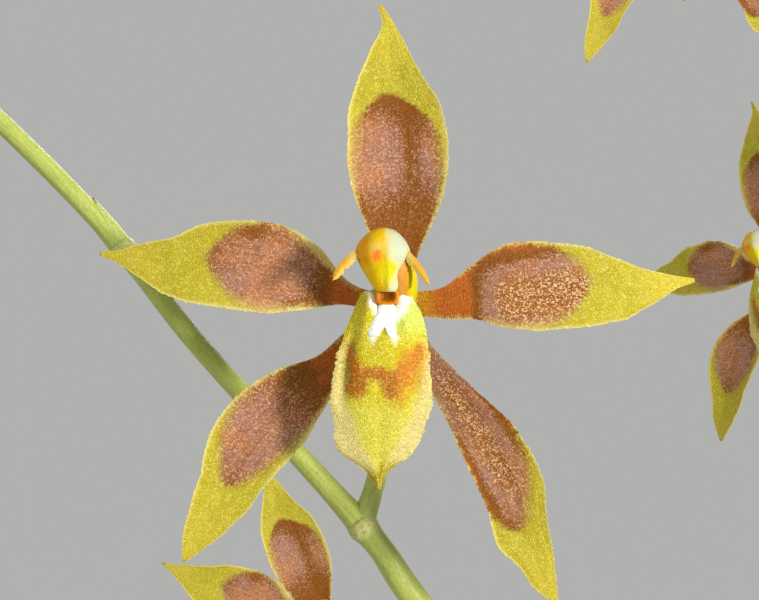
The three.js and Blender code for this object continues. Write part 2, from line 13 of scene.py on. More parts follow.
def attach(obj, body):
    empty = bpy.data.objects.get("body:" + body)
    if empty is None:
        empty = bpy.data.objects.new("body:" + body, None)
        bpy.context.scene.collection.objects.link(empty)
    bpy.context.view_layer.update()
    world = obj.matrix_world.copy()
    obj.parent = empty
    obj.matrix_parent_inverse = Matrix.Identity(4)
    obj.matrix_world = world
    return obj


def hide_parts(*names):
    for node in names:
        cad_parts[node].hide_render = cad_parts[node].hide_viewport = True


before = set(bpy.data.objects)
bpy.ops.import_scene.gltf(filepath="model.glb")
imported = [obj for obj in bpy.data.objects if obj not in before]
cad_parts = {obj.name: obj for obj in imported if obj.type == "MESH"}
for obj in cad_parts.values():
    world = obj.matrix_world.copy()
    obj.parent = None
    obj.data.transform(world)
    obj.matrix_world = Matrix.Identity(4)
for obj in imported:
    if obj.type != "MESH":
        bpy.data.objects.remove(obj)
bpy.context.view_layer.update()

MM = 0.001
DEGREE = math.pi / 180
UP = Vector((0, 0, 1))
NO_PAINT = (0, 0, 0, 0)
# A mask is stored as a texture coordinate, whose range of 0 to 1 spans this many millimetres.
MASK_SPAN = 10


def table(names, *rows):
    """Rows of values, each as a dictionary under the same names."""
    return [dict(zip(names.split(), row)) for row in rows]


# Pot and bark
POT_HEIGHT = 105
POT_FOOT_RADIUS = 42
POT_RIM_RADIUS = 62
POT_RIM_HEIGHT = 21
POT_RIM_STEP = 4
POT_WALL = 5.5
POT_FLOOR = 8
POT_SIDES = 144
DRAIN_RADIUS = 5.5
DRAIN_RING_RADIUS = 21
DRAIN_COUNT = 3
DRAIN_TURN = 0.25
DRAIN_SIDES = 40
CUTTER_MARGIN = 6
BARK_LEVEL = 88
BARK_TOP = 101
CHIP_COUNT = 150
CHIP_SIZE = (11, 7, 3.6)
CHIP_ENDS = (-1, -0.93, -0.5, 0, 0.5, 0.93, 1)
CHIP_SIDES = 12
BARK_SEED = 11
BED_SIDES = 60
# Edges sharper than these angles in degrees stay crisp
CRISP_CLAY = 40
CRISP_BARK = 32

# Pseudobulbs: thin and broad are half-sizes along X and Y
BULBS = table(
    "foot height thin broad turn",
    ((-31, 7), 47, 7.5, 14, 8),
    ((-12, 2), 54, 8.5, 16, -6),
    ((8, -2), 58, 9, 16.5, 5),
)
BULB_FOOT_Z = 84
BULB_RINGS = 54
BULB_SIDES = 72
# Sheaths round a bulb's foot: the side in degrees, and the top as a share of the bulb's height
SHEATHS = ((90, 0.46), (-90, 0.36))
RHIZOME = [(-40, 8, 80), (-22, 5, 80), (-2, 0, 80), (22, 2, 80), (37, 6, 80)]
RHIZOME_RADIUS = 3.6
ROOT_RADIUS = 1.7
ROOTS = [
    [(-22, 6, 80), (-27, 20, 90), (-36, 30, 93), (-41, 25, 84)],
    [(-2, 0, 80), (-2, -16, 88), (-14, -33, 93.5), (-28, -38, 84)],
    [(18, 2, 80), (17, 18, 90), (8, 34, 94), (-6, 42, 84)],
    [(22, 2, 80), (27, -10, 91), (22, -30, 94), (9, -42, 84)],
    [(34, 5, 80), (43, 3, 91), (46, -10, 92), (40, -22, 84)],
]

# Leaves: each starts on a bulb, counted from 0, or at a place, and rises and droops by angles in degrees
LEAVES = table(
    "start azimuth rise droop length width",
    (0, 128, 72, -12, 178, 20),
    (1, 74, 76, -8, 208, 22),
    (1, -120, 70, -28, 196, 22),
    (2, 50, 74, -16, 226, 23),
    (2, -84, 68, -34, 214, 23),
    ((-41, -5, 86), -158, 66, -22, 150, 18),
    ((9, -24, 86), -110, 62, -30, 138, 18),
    ((33, 9, 85), 16, 70, -6, 168, 19),
    ((36, -2, 85), -38, 64, -24, 146, 18),
    ((28, 15, 85), 84, 78, 20, 124, 15),
)
LEAF_STATIONS = [0, 0.08, 0.2, 0.34, 0.5, 0.66, 0.8, 0.92, 1]
LEAF_HALF_WIDTH = [0.24, 0.3, 0.58, 0.86, 1, 0.98, 0.8, 0.42, 0.03]
LEAF_FOLD = [0.6, 0.7, 0.68, 0.5, 0.36, 0.3, 0.3, 0.32, 0.35]
LEAF_ROWS = 72
LEAF_COLUMNS = 22
LEAF_BEND = 1.25
LEAF_SET_OFF = 3.4

# Flower stem: each curve passes through its knots, and blooms and buds sit on the knots. A taper is the
# radius at shares of the way along.
STEMS = {
    "scape": {
        "knots": [
            (19, -12, 80), (21, -12, 120), (21, -12, 165), (18, -13, 210), (11, -16, 252), (-2, -21, 291),
            (-22, -26.5, 325), (-40, -29.6, 349), (-54.2, -31.4, 368), (-59.9, -32, 376),
            (-77, -32.3, 394.9), (-88.3, -33, 409), (-105, -34, 425), (-122, -35, 437), (-140, -36, 448),
            (-158, -37, 457), (-174, -38, 462), (-188, -39, 464),
        ],
        "taper": ([0, 0.3, 0.5, 0.56, 1], [2.6, 1.9, 1.4, 1.1, 0.85]),
    },
    "rightBranch": {
        "knots": [
            (11, -16, 252), (20, 12, 290), (27, 44, 325), (29, 78, 356), (28, 110, 383), (27, 134, 415),
            (21, 150, 448), (12, 160, 472), (3, 167, 492),
        ],
        "taper": ([0, 1], [1.5, 0.8]),
    },
    "leftBranch": {
        "knots": [
            (-2, -21, 291), (-14, 8, 297), (-30, 40, 301), (-48, 70, 303), (-63, 99, 305),
            (-80, 119, 306), (-96, 132, 306), (-109, 141, 307),
        ],
        "taper": ([0, 1], [1.4, 0.8]),
    },
}
# Nodes of the stems that carry a bract and no bloom
BARE_NODES = [("scape", 2), ("scape", 4), ("scape", 5), ("scape", 7), ("scape", 10.75), ("rightBranch", 2),
              ("leftBranch", 2)]
STEM_STEPS = 12
STEM_SIDES = 20
PEDICEL_STEPS = 30
# Bracts: length, radius of the stalk and how far each stands off it
PEDICEL_BRACT = (7, 1.02, 0.14)
BUD_BRACT = (5, 0.9, 0.5)
BRACT_TURN = 2.4

# Blooms: the stem knot that carries each, the place of its centre, how it is turned and how far its
# dorsal sepal leans, in degrees, and what bends its stalk
BLOOMS = table(
    "stem knot at turns lean stalk",
    ("scape", 9, (-56.65, -45, 399.7), (0, 0, 0), 0, (3.2, 0, -1)),
    ("scape", 13, (-129, -56, 461), (-22, 6, -8), 4),
    ("scape", 14, (-155, -14, 431), (-148, 8, 6), -5),
    ("scape", 15, (-178, -60, 436), (-58, 12, -4), 6),
    ("rightBranch", 4, (11, 96, 405), (-42, 2, -12), 0),
    ("rightBranch", 5, (46, 148, 440), (118, 8, 5), -6),
    ("rightBranch", 6, (-1, 137, 475), (-6, 0, -8), 3),
    ("leftBranch", 4, (-67, 86, 344), (-4, 2, 14), 33),
    ("leftBranch", 5, (-82, 143, 279), (-172, 10, 8), -4),
)
BUDS = table(
    "stem knot toward size",
    ("scape", 16, (-4, -13, 9), 1),
    ("scape", 17, (-12, -3, 6), 0.8),
    ("rightBranch", 7, (9, 6, 12), 1),
    ("rightBranch", 8, (-6, 5, 10), 0.8),
    ("leftBranch", 6, (-6, -11, 7), 1),
    ("leftBranch", 7, (-11, 6, 4), 0.8),
)
BUD_LENGTH = 11
BUD_STEPS = 34

# One bloom, seen from its front with the dorsal sepal up. Angles run from the viewer's right.
# Left and right are how far a tepal reaches to each side of its axis, looking from its root to its tip,
# and low and high are the sides of its brown blotch, counted positive to the right. Each tone is a soft
# patch on the blotch: a station, a place across, its reach along and across, and how rosy it is; below 0
# it is orange. The rosy tone is partly a painted sheen. A gleam is such a patch, golden brown, where the
# cells sparkle with painted glints.
OUTLINE_STATIONS = [0, 0.07, 0.15, 0.25, 0.35, 0.45, 0.55, 0.65, 0.75, 0.85, 0.93, 1]
BLOTCH_STATIONS = [0, 0.1, 0.2, 0.3, 0.4, 0.5, 0.6, 0.7]
TEPALS = table(
    "name angle length arch reflex cup tilt end left right low high tones gleams",
    (
        "dorsal sepal", 92.5, 30.3, 1.4, 1.8, 0.9, 0.03, 0.69,
        [1.4, 1.4, 1.8, 2.45, 3.5, 3.9, 3.8, 3.51, 2.36, 0.93, -0.12, 0.2],
        [1.4, 1.9, 2.95, 4.5, 5.65, 6.14, 6.05, 5.42, 3.74, 2.46, 1.36, 0.2],
        [-1.6, -1.6, -2.0, -3.0, -3.4, -3.3, -2.7, -1.6],
        [1.6, 2.5, 3.6, 4.8, 5.4, 5.4, 4.4, 1.9],
        [(0.47, -1.0, 0.14, 3.4, 1.5), (0.44, 4.4, 0.14, 1.1, 0.8), (0.5, 2.2, 0.1, 0.6, -0.6),
         (0.69, 1, 0.06, 9, -0.25)],
    ),
    (
        "left petal", 170.4, 30, 1.8, 0.8, 0.8, -0.08, 0.63,
        [1.2, 1.0, 1.04, 1.97, 2.84, 3.23, 3.28, 3.36, 2.89, 1.69, 0.72, 0.2],
        [1.2, 0.85, 1.66, 4.18, 5.55, 5.87, 5.47, 4.7, 2.92, 1.8, 0.7, 0.2],
        [-1.2, -1.1, -1.4, -1.9, -2.7, -2.2, -0.9, 0.4],
        [1.2, 0.9, 2.0, 4.2, 5.8, 5.4, 4.0, 1.5],
        [(0.42, 0.5, 0.22, 5, 1.3), (0.47, 4.6, 0.04, 0.9, -0.6), (0.3, -1.8, 0.05, 0.6, -0.7),
         (0.1, 0, 0.13, 9, -1.2)],
    ),
    (
        "right petal", 4.3, 30.5, 1.8, 0.6, 0.9, 0.1, 0.64,
        [1.2, 0.99, 1.27, 3.28, 4.85, 5.07, 4.68, 4.0, 2.49, 1.32, 0.62, 0.2],
        [1.2, 1.6, 2.0, 2.3, 3.35, 3.77, 3.83, 3.75, 3.25, 2.04, 0.78, 0.2],
        [-1.2, -1.2, -2.2, -4.2, -4.9, -4.5, -3.6, -1.6],
        [1.2, 1.7, 1.9, 2.7, 3.2, 3.1, 2.2, 0.6],
        [(0.33, 0.7, 0.09, 3.2, 1.1), (0.17, 0.5, 0.13, 4, -1.3), (0.42, -5.0, 0.2, 1.8, -0.9)],
        [(0.44, 0.6, 0.15, 4.2, 0.72), (0.6, 0, 0.1, 3.8, 0.6)],
    ),
    (
        "left sepal", 231, 33.8, 0.8, 2.2, 0.8, 0.16, 0.73,
        [1.3, 1.3, 1.4, 1.3, 1.3, 1.82, 1.77, 1.63, 1.76, 1.36, 0.8, 0.2],
        [1.3, 1.5, 2.0, 2.63, 4.73, 5.97, 6.37, 5.8, 4.22, 2.94, 1.82, 0.2],
        [-1.3, -1.2, -1.1, -0.9, -1.1, -1.2, -0.7, -0.2],
        [1.3, 1.5, 2.1, 3.6, 5.3, 6.0, 5.3, 3.6],
        [(0.55, 2.5, 0.2, 5, 1.1), (0.18, 0, 0.16, 9, -0.7)],
    ),
    (
        "right sepal", 298.7, 34.8, 0.8, 2.6, 0.5, -0.18, 0.75,
        [1.3, 1.2, 1.4, 2.33, 3.46, 4.58, 4.97, 4.63, 3.24, 2.16, 1.12, 0.2],
        [1.3, 1.3, 1.2, 1.0, 0.92, 1.19, 1.37, 1.63, 2.51, 1.65, 1.3, 0.2],
        [-1.2, -1.5, -2.2, -3.4, -4.5, -4.6, -4.0, -2.2],
        [1.2, 1.2, 1.1, 1.0, 1.1, 1.4, 1.7, 1.8],
        [(0.48, -1.6, 0.32, 2.4, 0.8), (0.4, 1.3, 0.3, 0.9, -0.9), (0.36, -4.1, 0.16, 1.2, -0.7),
         (0.04, 0, 0.08, 9, -0.9)],
        [(0.27, -0.6, 0.17, 2.2, 0.5), (0.56, -1.6, 0.17, 2.4, 0.42)],
    ),
)
TEPAL_ROOT_RADIUS = 0.8
TEPAL_ROOT_DEPTH = 1.2
BLOTCH_ROUNDING = 0.13

LIP_STATIONS = [0, 0.07, 0.15, 0.25, 0.35, 0.45, 0.55, 0.65, 0.73, 0.78, 0.83, 0.88, 0.93, 1]
LIP = {
    "viewer_left": [2.85, 3.2, 3.7, 4.3, 4.75, 5.0, 5.15, 4.65, 4.55, 4.35, 3.5, 2.05, 0.95, 0.1],
    "viewer_right": [2.75, 3.45, 3.9, 4.3, 4.55, 4.75, 4.9, 4.45, 3.9, 3.65, 2.8, 1.5, 0.45, 0.15],
    "top": 0.7,
    "length": 19.05,
    "forward": (4.4, 3.2),
    "middle": (-0.7, -1.4),
    "roll": -1.1,
}
# Strokes on the lip: a place across its axis and down from its top, and half the stroke's width there
LIP_BROWN = [
    [(-3.45, 4.9, 0.25), (-3.0, 6.25, 0.55), (-2.35, 7.8, 0.95), (-2.6, 9.1, 0.95)],
    [(-1.8, 7.6, 0.6), (-0.3, 7.6, 0.65), (0.8, 8.4, 1.0), (0.9, 9.35, 0.8)],
    [(0.8, 8.4, 1.0), (2.0, 7.8, 0.95), (2.75, 6.35, 0.65), (3.4, 5.1, 0.4)],
]
LIP_WHITE = [
    [(2.5, -0.4, 0.9), (1.85, 0, 0.95), (1.5, 0.7, 0.8), (1.35, 1.6, 0.45), (1.3, 2.4, -0.1)],
    [(-1.6, -0.5, 0.4), (-1.3, 0, 0.55), (-1.0, 0.9, 0.45), (-0.8, 1.5, 0.3)],
    [(-1.1, 4.0, 0.3), (-1.0, 5.6, -0.5)],
    [(1.0, 4.2, 0.1), (1.15, 5.2, -0.5)],
]
# Callus: how far down the lip a level lies, and its left and right edges there
CALLUS_DOWN = [0.7, 1.0, 1.6, 2.15, 2.85, 3.5, 4.3]
CALLUS_LEFT = [-0.5, -0.75, -0.85, -1.3, -1.6, -1.85, -1.9]
CALLUS_RIGHT = [0.6, 0.9, 1.0, 1.1, 1.2, 1.3, 1.3]

# Rings of the anther cap: their height, left and right edges, the middle's forward reach, and the depth
CAP_RINGS = (
    [7.3, 7.1, 6.6, 5.8, 4.9, 4.0, 2.7, 1.6, 1.1],
    [-1.3, -2.0, -2.75, -3.45, -3.7, -3.4, -2.7, -2.0, -1.5],
    [-0.5, 0.1, 0.75, 1.35, 1.65, 1.25, 0.75, 0.5, 0.2],
    [5.4, 5.3, 5.2, 5.1, 5.1, 5.2, 5.3, 5.5, 5.6],
    [0.5, 1.1, 1.8, 2.3, 2.5, 2.3, 1.7, 1.1, 0.6],
)
# Where the cap's white side begins, at a height
CAP_BORDER_HEIGHT = [1.1, 2.3, 3.4, 3.8, 4.3, 7.3]
CAP_BORDER = [-0.75, -0.25, 0.25, 0.1, -0.6, -0.8]
# Stigma: half its size, how far forward it lies and how dark its painted shade is, from its base over its rim
# inward
STIGMA_RINGS = ((1.25, 3.2, 0), (1.25, 5.2, 0), (1.08, 5.6, 0.12), (0.85, 5.5, 0.35), (0.6, 5.2, 0.7),
                (0.25, 5.1, 0.85))
# Wings: the root and tip of each, across, forward and up
WINGS = {
    -1: ((-3.45, 6.0, 4.85), (-5.9, 6.6, 2.1)),
    1: ((0.95, 6.0, 4.95), (3.5, 6.6, 1.6)),
}
# Detail of the bloom in front and of the others: rows and columns, and a share for the column
NEAR = {"tepal": (170, 26), "lip": (190, 44), "column": 1}
FAR = {"tepal": (48, 16), "lip": (70, 26), "column": 0.6}


def mix(a, b, t):
    return a + (b - a) * t


def clamp(value, low=0.0, high=1.0):
    return min(max(value, low), high)


def smooth(low, high, value):
    """Soft step from 0 at low to 1 at high; high may be the lower number."""
    t = clamp((value - low) / (high - low))
    return t * t * (3 - 2 * t)


def hump(value, centre, width):
    return math.exp(-(((value - centre) / width) ** 2))


def ripple(x, y=0.0, z=0.0):
    return noise.noise((x, y, z))


def polar(radius, angle, z):
    return Vector((radius * math.cos(angle), radius * math.sin(angle), z))


def spline(stations, values, s):
    """Smooth curve through the values at their stations."""
    s = clamp(s, stations[0], stations[-1])
    k = 0
    while k < len(stations) - 2 and s > stations[k + 1]:
        k += 1

    def slope(i):
        low, high = max(i - 1, 0), min(i + 1, len(stations) - 1)
        return (values[high] - values[low]) / (stations[high] - stations[low])

    span = stations[k + 1] - stations[k]
    t = (s - stations[k]) / span
    a, b = values[k], values[k + 1]
    ma, mb = slope(k) * span, slope(k + 1) * span
    return (
        a * (1 + 2 * t) * (1 - t) ** 2 + ma * t * (1 - t) ** 2
        + b * t * t * (3 - 2 * t) + mb * t * t * (t - 1)
    )


def curve_points(knots, steps):
    """Points along a smooth curve through the knots, with a number of steps between each two."""
    knots = [Vector(knot) for knot in knots]
    padded = [2 * knots[0] - knots[1], *knots, 2 * knots[-1] - knots[-2]]
    points = []
    for k in range(len(knots) - 1):
        before, a, b, after = padded[k : k + 4]
        for i in range(steps + (k == len(knots) - 2)):
            t = i / steps
            points.append(0.5 * (
                2 * a
                + (b - before) * t
                + (2 * before - 5 * a + 4 * b - after) * t * t
                + (3 * a - before - 3 * b + after) * t**3
            ))
    return points


def bezier(a, b, c, d, t):
    u = 1 - t
    return a * u**3 + 3 * b * u * u * t + 3 * c * u * t * t + d * t**3


def stroke_mask(strokes, x, y):
    """Millimetres that a place lies inside the nearest of the strokes, negative outside them."""
    best = -MASK_SPAN
    for stroke in strokes:
        for (ax, ay, ar), (bx, by, br) in zip(stroke, stroke[1:]):
            along_x, along_y = bx - ax, by - ay
            t = clamp(((x - ax) * along_x + (y - ay) * along_y) / (along_x**2 + along_y**2))
            off = math.hypot(x - ax - t * along_x, y - ay - t * along_y)
            best = max(best, mix(ar, br, t) - off)
    return best


def stored(mask):
    return clamp(0.5 + mask / MASK_SPAN)


class Form:
    """Skins in millimetres. Each point carries four values for its material."""

    def __init__(self):
        self.points = []
        self.values = []
        self.faces = []

    def loft(self, rings):
        """Closed skin over rings of (point, values)."""
        first, count = len(self.points), len(rings[0])
        for ring in rings:
            for point, values in ring:
                self.points.append(Vector(point))
                self.values.append(values)
        for k in range(len(rings) - 1):
            low = first + k * count
            for i in range(count):
                j = (i + 1) % count
                self.faces.append((low + i, low + j, low + j + count, low + i + count))
        last = first + (len(rings) - 1) * count
        self.faces.append(tuple(range(first + count - 1, first - 1, -1)))
        self.faces.append(tuple(range(last, last + count)))

    def skin(self, steps, sides, ring):
        """Closed skin round steps. ring(step) gives a function of the angle round it."""
        rings = []
        for step in steps:
            at = ring(step)
            rings.append([at(2 * math.pi * i / sides) for i in range(sides)])
        self.loft(rings)

    def blade(self, rows, columns, row):
        """Closed thin blade. row(s) gives a function of q across it and the face, 1 or -1."""
        across = [math.sin(math.pi / 2 * mix(-1, 1, j / columns)) for j in range(columns + 1)]
        rings = []
        for k in range(rows + 1):
            at = row(k / rows)
            rings.append([at(q, 1) for q in across] + [at(q, -1) for q in reversed(across)])
        self.loft(rings)

    def tube(self, points, radius, sides, paint):
        """Closed tube of a radius(k, angle). Its paint is four values, or a function of k for the last
        three of them, while the first runs round the tube."""
        def ring(step):
            k, (point, right, over) = step

            def at(angle):
                reach = radius(k, angle)
                place = point + right * (reach * math.cos(angle)) + over * (reach * math.sin(angle))
                return place, paint if isinstance(paint, tuple) else (angle / math.tau, *paint(k))

            return at

        self.skin(enumerate(carried_frames(points)), sides, ring)

    def moved(self, matrix):
        self.points = [matrix @ point for point in self.points]
        return self


def carried_frames(points):
    """Each point with two directions square to the path, carried along it without twist."""
    start = (points[1] - points[0]).normalized()
    right = Vector((1, 0, 0)) if abs(start.x) < 0.8 else Vector((0, 1, 0))
    frames = []
    for k, point in enumerate(points):
        forward = (points[min(k + 1, len(points) - 1)] - points[max(k - 1, 0)]).normalized()
        right = (right - forward * right.dot(forward)).normalized()
        frames.append((point, right, forward.cross(right)))
    return frames


def paint_maps(mesh, values):
    """Texture maps Form and Tone from four values a point."""
    corners = np.empty(len(mesh.loops), dtype=np.int64)
    mesh.loops.foreach_get("vertex_index", corners)
    painted = np.array(values, dtype=np.float32)[corners]
    for name, first in (("Form", 0), ("Tone", 2)):
        layer = mesh.uv_layers.new(name=name)
        layer.data.foreach_set("uv", np.ascontiguousarray(painted[:, first : first + 2]).ravel())


def rework(mesh, *edits):
    """Open the mesh for some edits and write it back."""
    shell = bmesh.new()
    shell.from_mesh(mesh)
    for edit in edits:
        edit(shell)
    shell.to_mesh(mesh)
    shell.free()


def weld(shell):
    bmesh.ops.remove_doubles(shell, verts=shell.verts, dist=1e-7)


def face_outward(shell):
    bmesh.ops.recalc_face_normals(shell, faces=shell.faces)


def keep_crisp(obj, limit):
    """Keep the edges crisp that are sharper than a limit in degrees."""
    def edit(shell):
        for edge in shell.edges:
            if len(edge.link_faces) == 2 and edge.calc_face_angle(0) > limit * DEGREE:
                edge.smooth = False

    rework(obj.data, edit)


def scene_object(name, data, place=(0, 0, 0)):
    obj = bpy.data.objects.new(name, data)
    obj.location = place
    bpy.context.collection.objects.link(obj)
    return obj


def mesh_object(name, form, *edits):
    """One object of a form, in metres."""
    mesh = bpy.data.meshes.new(name)
    mesh.from_pydata([point * MM for point in form.points], [], form.faces)
    paint_maps(mesh, form.values)
    rework(mesh, *edits, face_outward)
    return scene_object(name, mesh)


def piece(name, form, material, slot, *nodes):
    """One piece of the plant, which stands for CAD nodes."""
    obj = mesh_object(name, form)
    obj.data.shade_smooth()
    obj.data.materials.append(material)
    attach(obj, "root")
    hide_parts(*nodes)
    return obj


def colour(red, green, blue):
    """Linear colour from one given as 0 to 255 on a screen."""
    def linear(value):
        value /= 255
        return value / 12.92 if value <= 0.04045 else ((value + 0.055) / 1.055) ** 2.4

    return (linear(red), linear(green), linear(blue), 1)


class Surface:
    """Node graph of one material. u, v, w and x are the four values that a form stores."""

    def __init__(self, name, settings):
        self.material = bpy.data.materials.new(name)
        self.material.use_nodes = True
        self.nodes = self.material.node_tree.nodes
        self.links = self.material.node_tree.links
        self.shader = self.nodes["Principled BSDF"]
        for socket, value in settings.items():
            self.shader.inputs[socket].default_value = value
        self.place = self.node("ShaderNodeTexCoord").outputs["Object"]
        self.u, self.v = self.map_values("Form")
        self.w, self.x = self.map_values("Tone")

    def node(self, kind, *inputs, **settings):
        made = self.nodes.new(kind)
        for name, value in settings.items():
            setattr(made, name, value)
        for socket, value in zip(made.inputs, inputs):
            self.feed(socket, value)
        return made

    def feed(self, socket, value):
        if isinstance(value, bpy.types.NodeSocket):
            self.links.new(value, socket)
        else:
            socket.default_value = value

    def map_values(self, name):
        split = self.node("ShaderNodeSeparateXYZ", self.node("ShaderNodeUVMap", uv_map=name).outputs[0])
        return split.outputs[0], split.outputs[1]

    def maths(self, operation, a, b=0.0):
        return self.node("ShaderNodeMath", a, b, operation=operation).outputs[0]

    def plus(self, a, b):
        return self.maths("ADD", a, b)

    def times(self, a, b):
        return self.maths("MULTIPLY", a, b)

    def most(self, a, b):
        return self.maths("MAXIMUM", a, b)

    def blend(self, *terms):
        """Sum of values, each times its weight."""
        total = 0.0
        for value, weight in terms:
            total = self.plus(total, self.times(value, weight))
        return total

    def grain(self, value, *noises):
        """A value that noises move, each by up to half its width either way."""
        for speckle, width in noises:
            value = self.plus(value, self.times(self.plus(speckle, -0.5), width))
        return value

    def aside(self):
        """Distance from the middle line, from 0 to 0.5."""
        return self.maths("ABSOLUTE", self.plus(self.u, -0.5))

    def along(self, stretch):
        """Texture place that runs slowly along a form, for lines on it."""
        return self.joined(self.u, self.times(self.v, stretch))

    def joined(self, x, y, z=0.0):
        return self.node("ShaderNodeCombineXYZ", x, y, z).outputs[0]

    def texture(self, kind, size, vector):
        """Texture with features of a size in millimetres, or of a share of the given vector."""
        made = self.node(kind)
        self.feed(made.inputs["Vector"], vector or self.place)
        made.inputs["Scale"].default_value = 1 / size if vector else 1 / (size * MM)
        return made

    def noise(self, size, detail, vector=None, roughness=0.5):
        made = self.texture("ShaderNodeTexNoise", size, vector)
        made.inputs["Detail"].default_value = detail
        made.inputs["Roughness"].default_value = roughness
        return made.outputs[0]

    def cells(self, size):
        """Cells of a size in millimetres: the distance from each one's middle, and a number for each."""
        made = self.texture("ShaderNodeTexVoronoi", size, None)
        return made.outputs["Distance"], self.node("ShaderNodeSeparateXYZ", made.outputs["Color"]).outputs[0]

    def step(self, value, low, high):
        """Soft step from 0 at low to 1 at high; high may be the lower number."""
        bounds = (low, high, 0, 1) if low < high else (high, low, 1, 0)
        return self.node("ShaderNodeMapRange", value, *bounds, interpolation_type="SMOOTHSTEP").outputs[0]

    def mixed(self, share, a, b):
        made = self.node("ShaderNodeMix", share, data_type="RGBA")
        for socket, value in ((made.inputs[6], a), (made.inputs[7], b)):
            self.feed(socket, colour(*value) if isinstance(value, tuple) else value)
        return made.outputs[2]

    def cut(self, share, *steps):
        """A share times soft steps of (value, low, high)."""
        for value, low, high in steps:
            share = self.times(share, self.step(value, low, high))
        return share

    def coats(self, base, *rows):
        """Colours laid over the base in turn. After each stand its share and the steps that cut it."""
        for top, *share in rows:
            base = self.mixed(self.cut(*share), base, top)
        return base

    def finish(self, base, height, depth):
        self.feed(self.shader.inputs["Base Color"], base)
        bump = self.node("ShaderNodeBump")
        bump.inputs["Strength"].default_value = 1
        bump.inputs["Distance"].default_value = depth * MM
        self.feed(bump.inputs["Height"], height)
        self.feed(self.shader.inputs["Normal"], bump.outputs[0])
        return self.material


FLESH = {"Specular IOR Level": 0.35, "Subsurface Weight": 0.12, "Subsurface Scale": 0.0012}
TISSUE = {**FLESH, "Roughness": 0.36, "Specular IOR Level": 0.12}
CELL_SIZE = 0.13


def tepal_surface():
    """Yellow blade with a blotch of brown, orange at its claw and pink in places, that pink partly a painted
    sheen, in cells that glisten with painted glints.
    """
    s = Surface("tepal_surface", TISSUE)
    distance, pick = s.cells(CELL_SIZE)
    fine, soft, broad = s.noise(0.3, 3), s.noise(1.2, 3), s.noise(4.5, 2)
    streak = s.noise(0.05, 2, s.along(0.12))
    yellow = s.coats(
        s.mixed(soft, (152, 142, 18), (190, 176, 48)),
        ((196, 172, 110), 0.75, (s.v, 0.56, 0.36)),
        ((190, 174, 50), 1, (s.v, 0.72, 0.95)),
        # Pale margin: partly the tepal's own paler rim, partly a painted highlight along the rims
        ((204, 194, 108), 1, (s.aside(), 0.44, 0.5)),
        # Painted glints: pale cells scattered over the yellow
        ((224, 212, 110), 0.5, (pick, 0.66, 0.95)),
    )
    tone = s.grain(s.x, (soft, 0.26), (pick, 0.14))
    # Gleam: patches, golden brown, where the cells carry strong painted glints. Flush: the orange share.
    gleam, flush = s.step(tone, 1.02, 1.46), s.step(tone, 0.6, 0.34)
    # Pink middle of the blotch, partly a painted sheen; it gives way under the gleam patches
    rosy_sheen = s.cut(s.blend((1, 1), (gleam, -0.9)), (tone, 0.66, 0.96))
    lined = s.blend((1, 0.72), (s.most(rosy_sheen, flush), -0.4))
    # Shine: how strong the painted glints are
    shine = s.blend((s.step(tone, 0.62, 0.9), 0.2), (gleam, 0.28), (1, 0.06))
    brown = s.coats(
        s.mixed(broad, (114, 64, 0), (142, 82, 8)),
        ((186, 98, 32), flush),
        ((196, 146, 24), 1, (s.v, 0.14, 0.05)),
        # Pink-beige middle of the blotch: partly its own colour, partly a painted sheen
        (s.mixed(s.step(broad, 0.4, 0.6), (154, 108, 88), (168, 110, 74)), rosy_sheen),
        ((158, 98, 28), s.times(gleam, 0.8)),
        ((122, 66, 4), lined, (streak, 0.5, 0.62)),
        ((116, 64, 12), 0.4, (fine, 0.48, 0.7)),
        # Painted glints: pale cream cells, strongest in the gleam patches
        ((252, 222, 182), shine, (s.blend((pick, 1), (gleam, 0.08)), 0.64, 0.94)),
    )
    edge = s.grain(0, (s.w, MASK_SPAN), (fine, 1.1), (soft, 1.0))
    blotch = s.step(s.maths("DIVIDE", edge, s.blend((rosy_sheen, 0.8), (1, 0.4))), -1, 1)
    back = s.coats(
        (160, 154, 52),
        ((124, 82, 36), s.times(blotch, 0.55)),
        ((132, 124, 44), 0.4, (streak, 0.45, 0.65)),
        ((178, 170, 84), 0.35, (fine, 0.55, 0.75)),
    )
    front = s.mixed(blotch, yellow, brown)
    height = s.blend((distance, -1), (soft, 1.2), (streak, 0.8))
    return s.finish(s.mixed(s.step(s.x, 0.1, 0.3), back, front), height, 0.07)


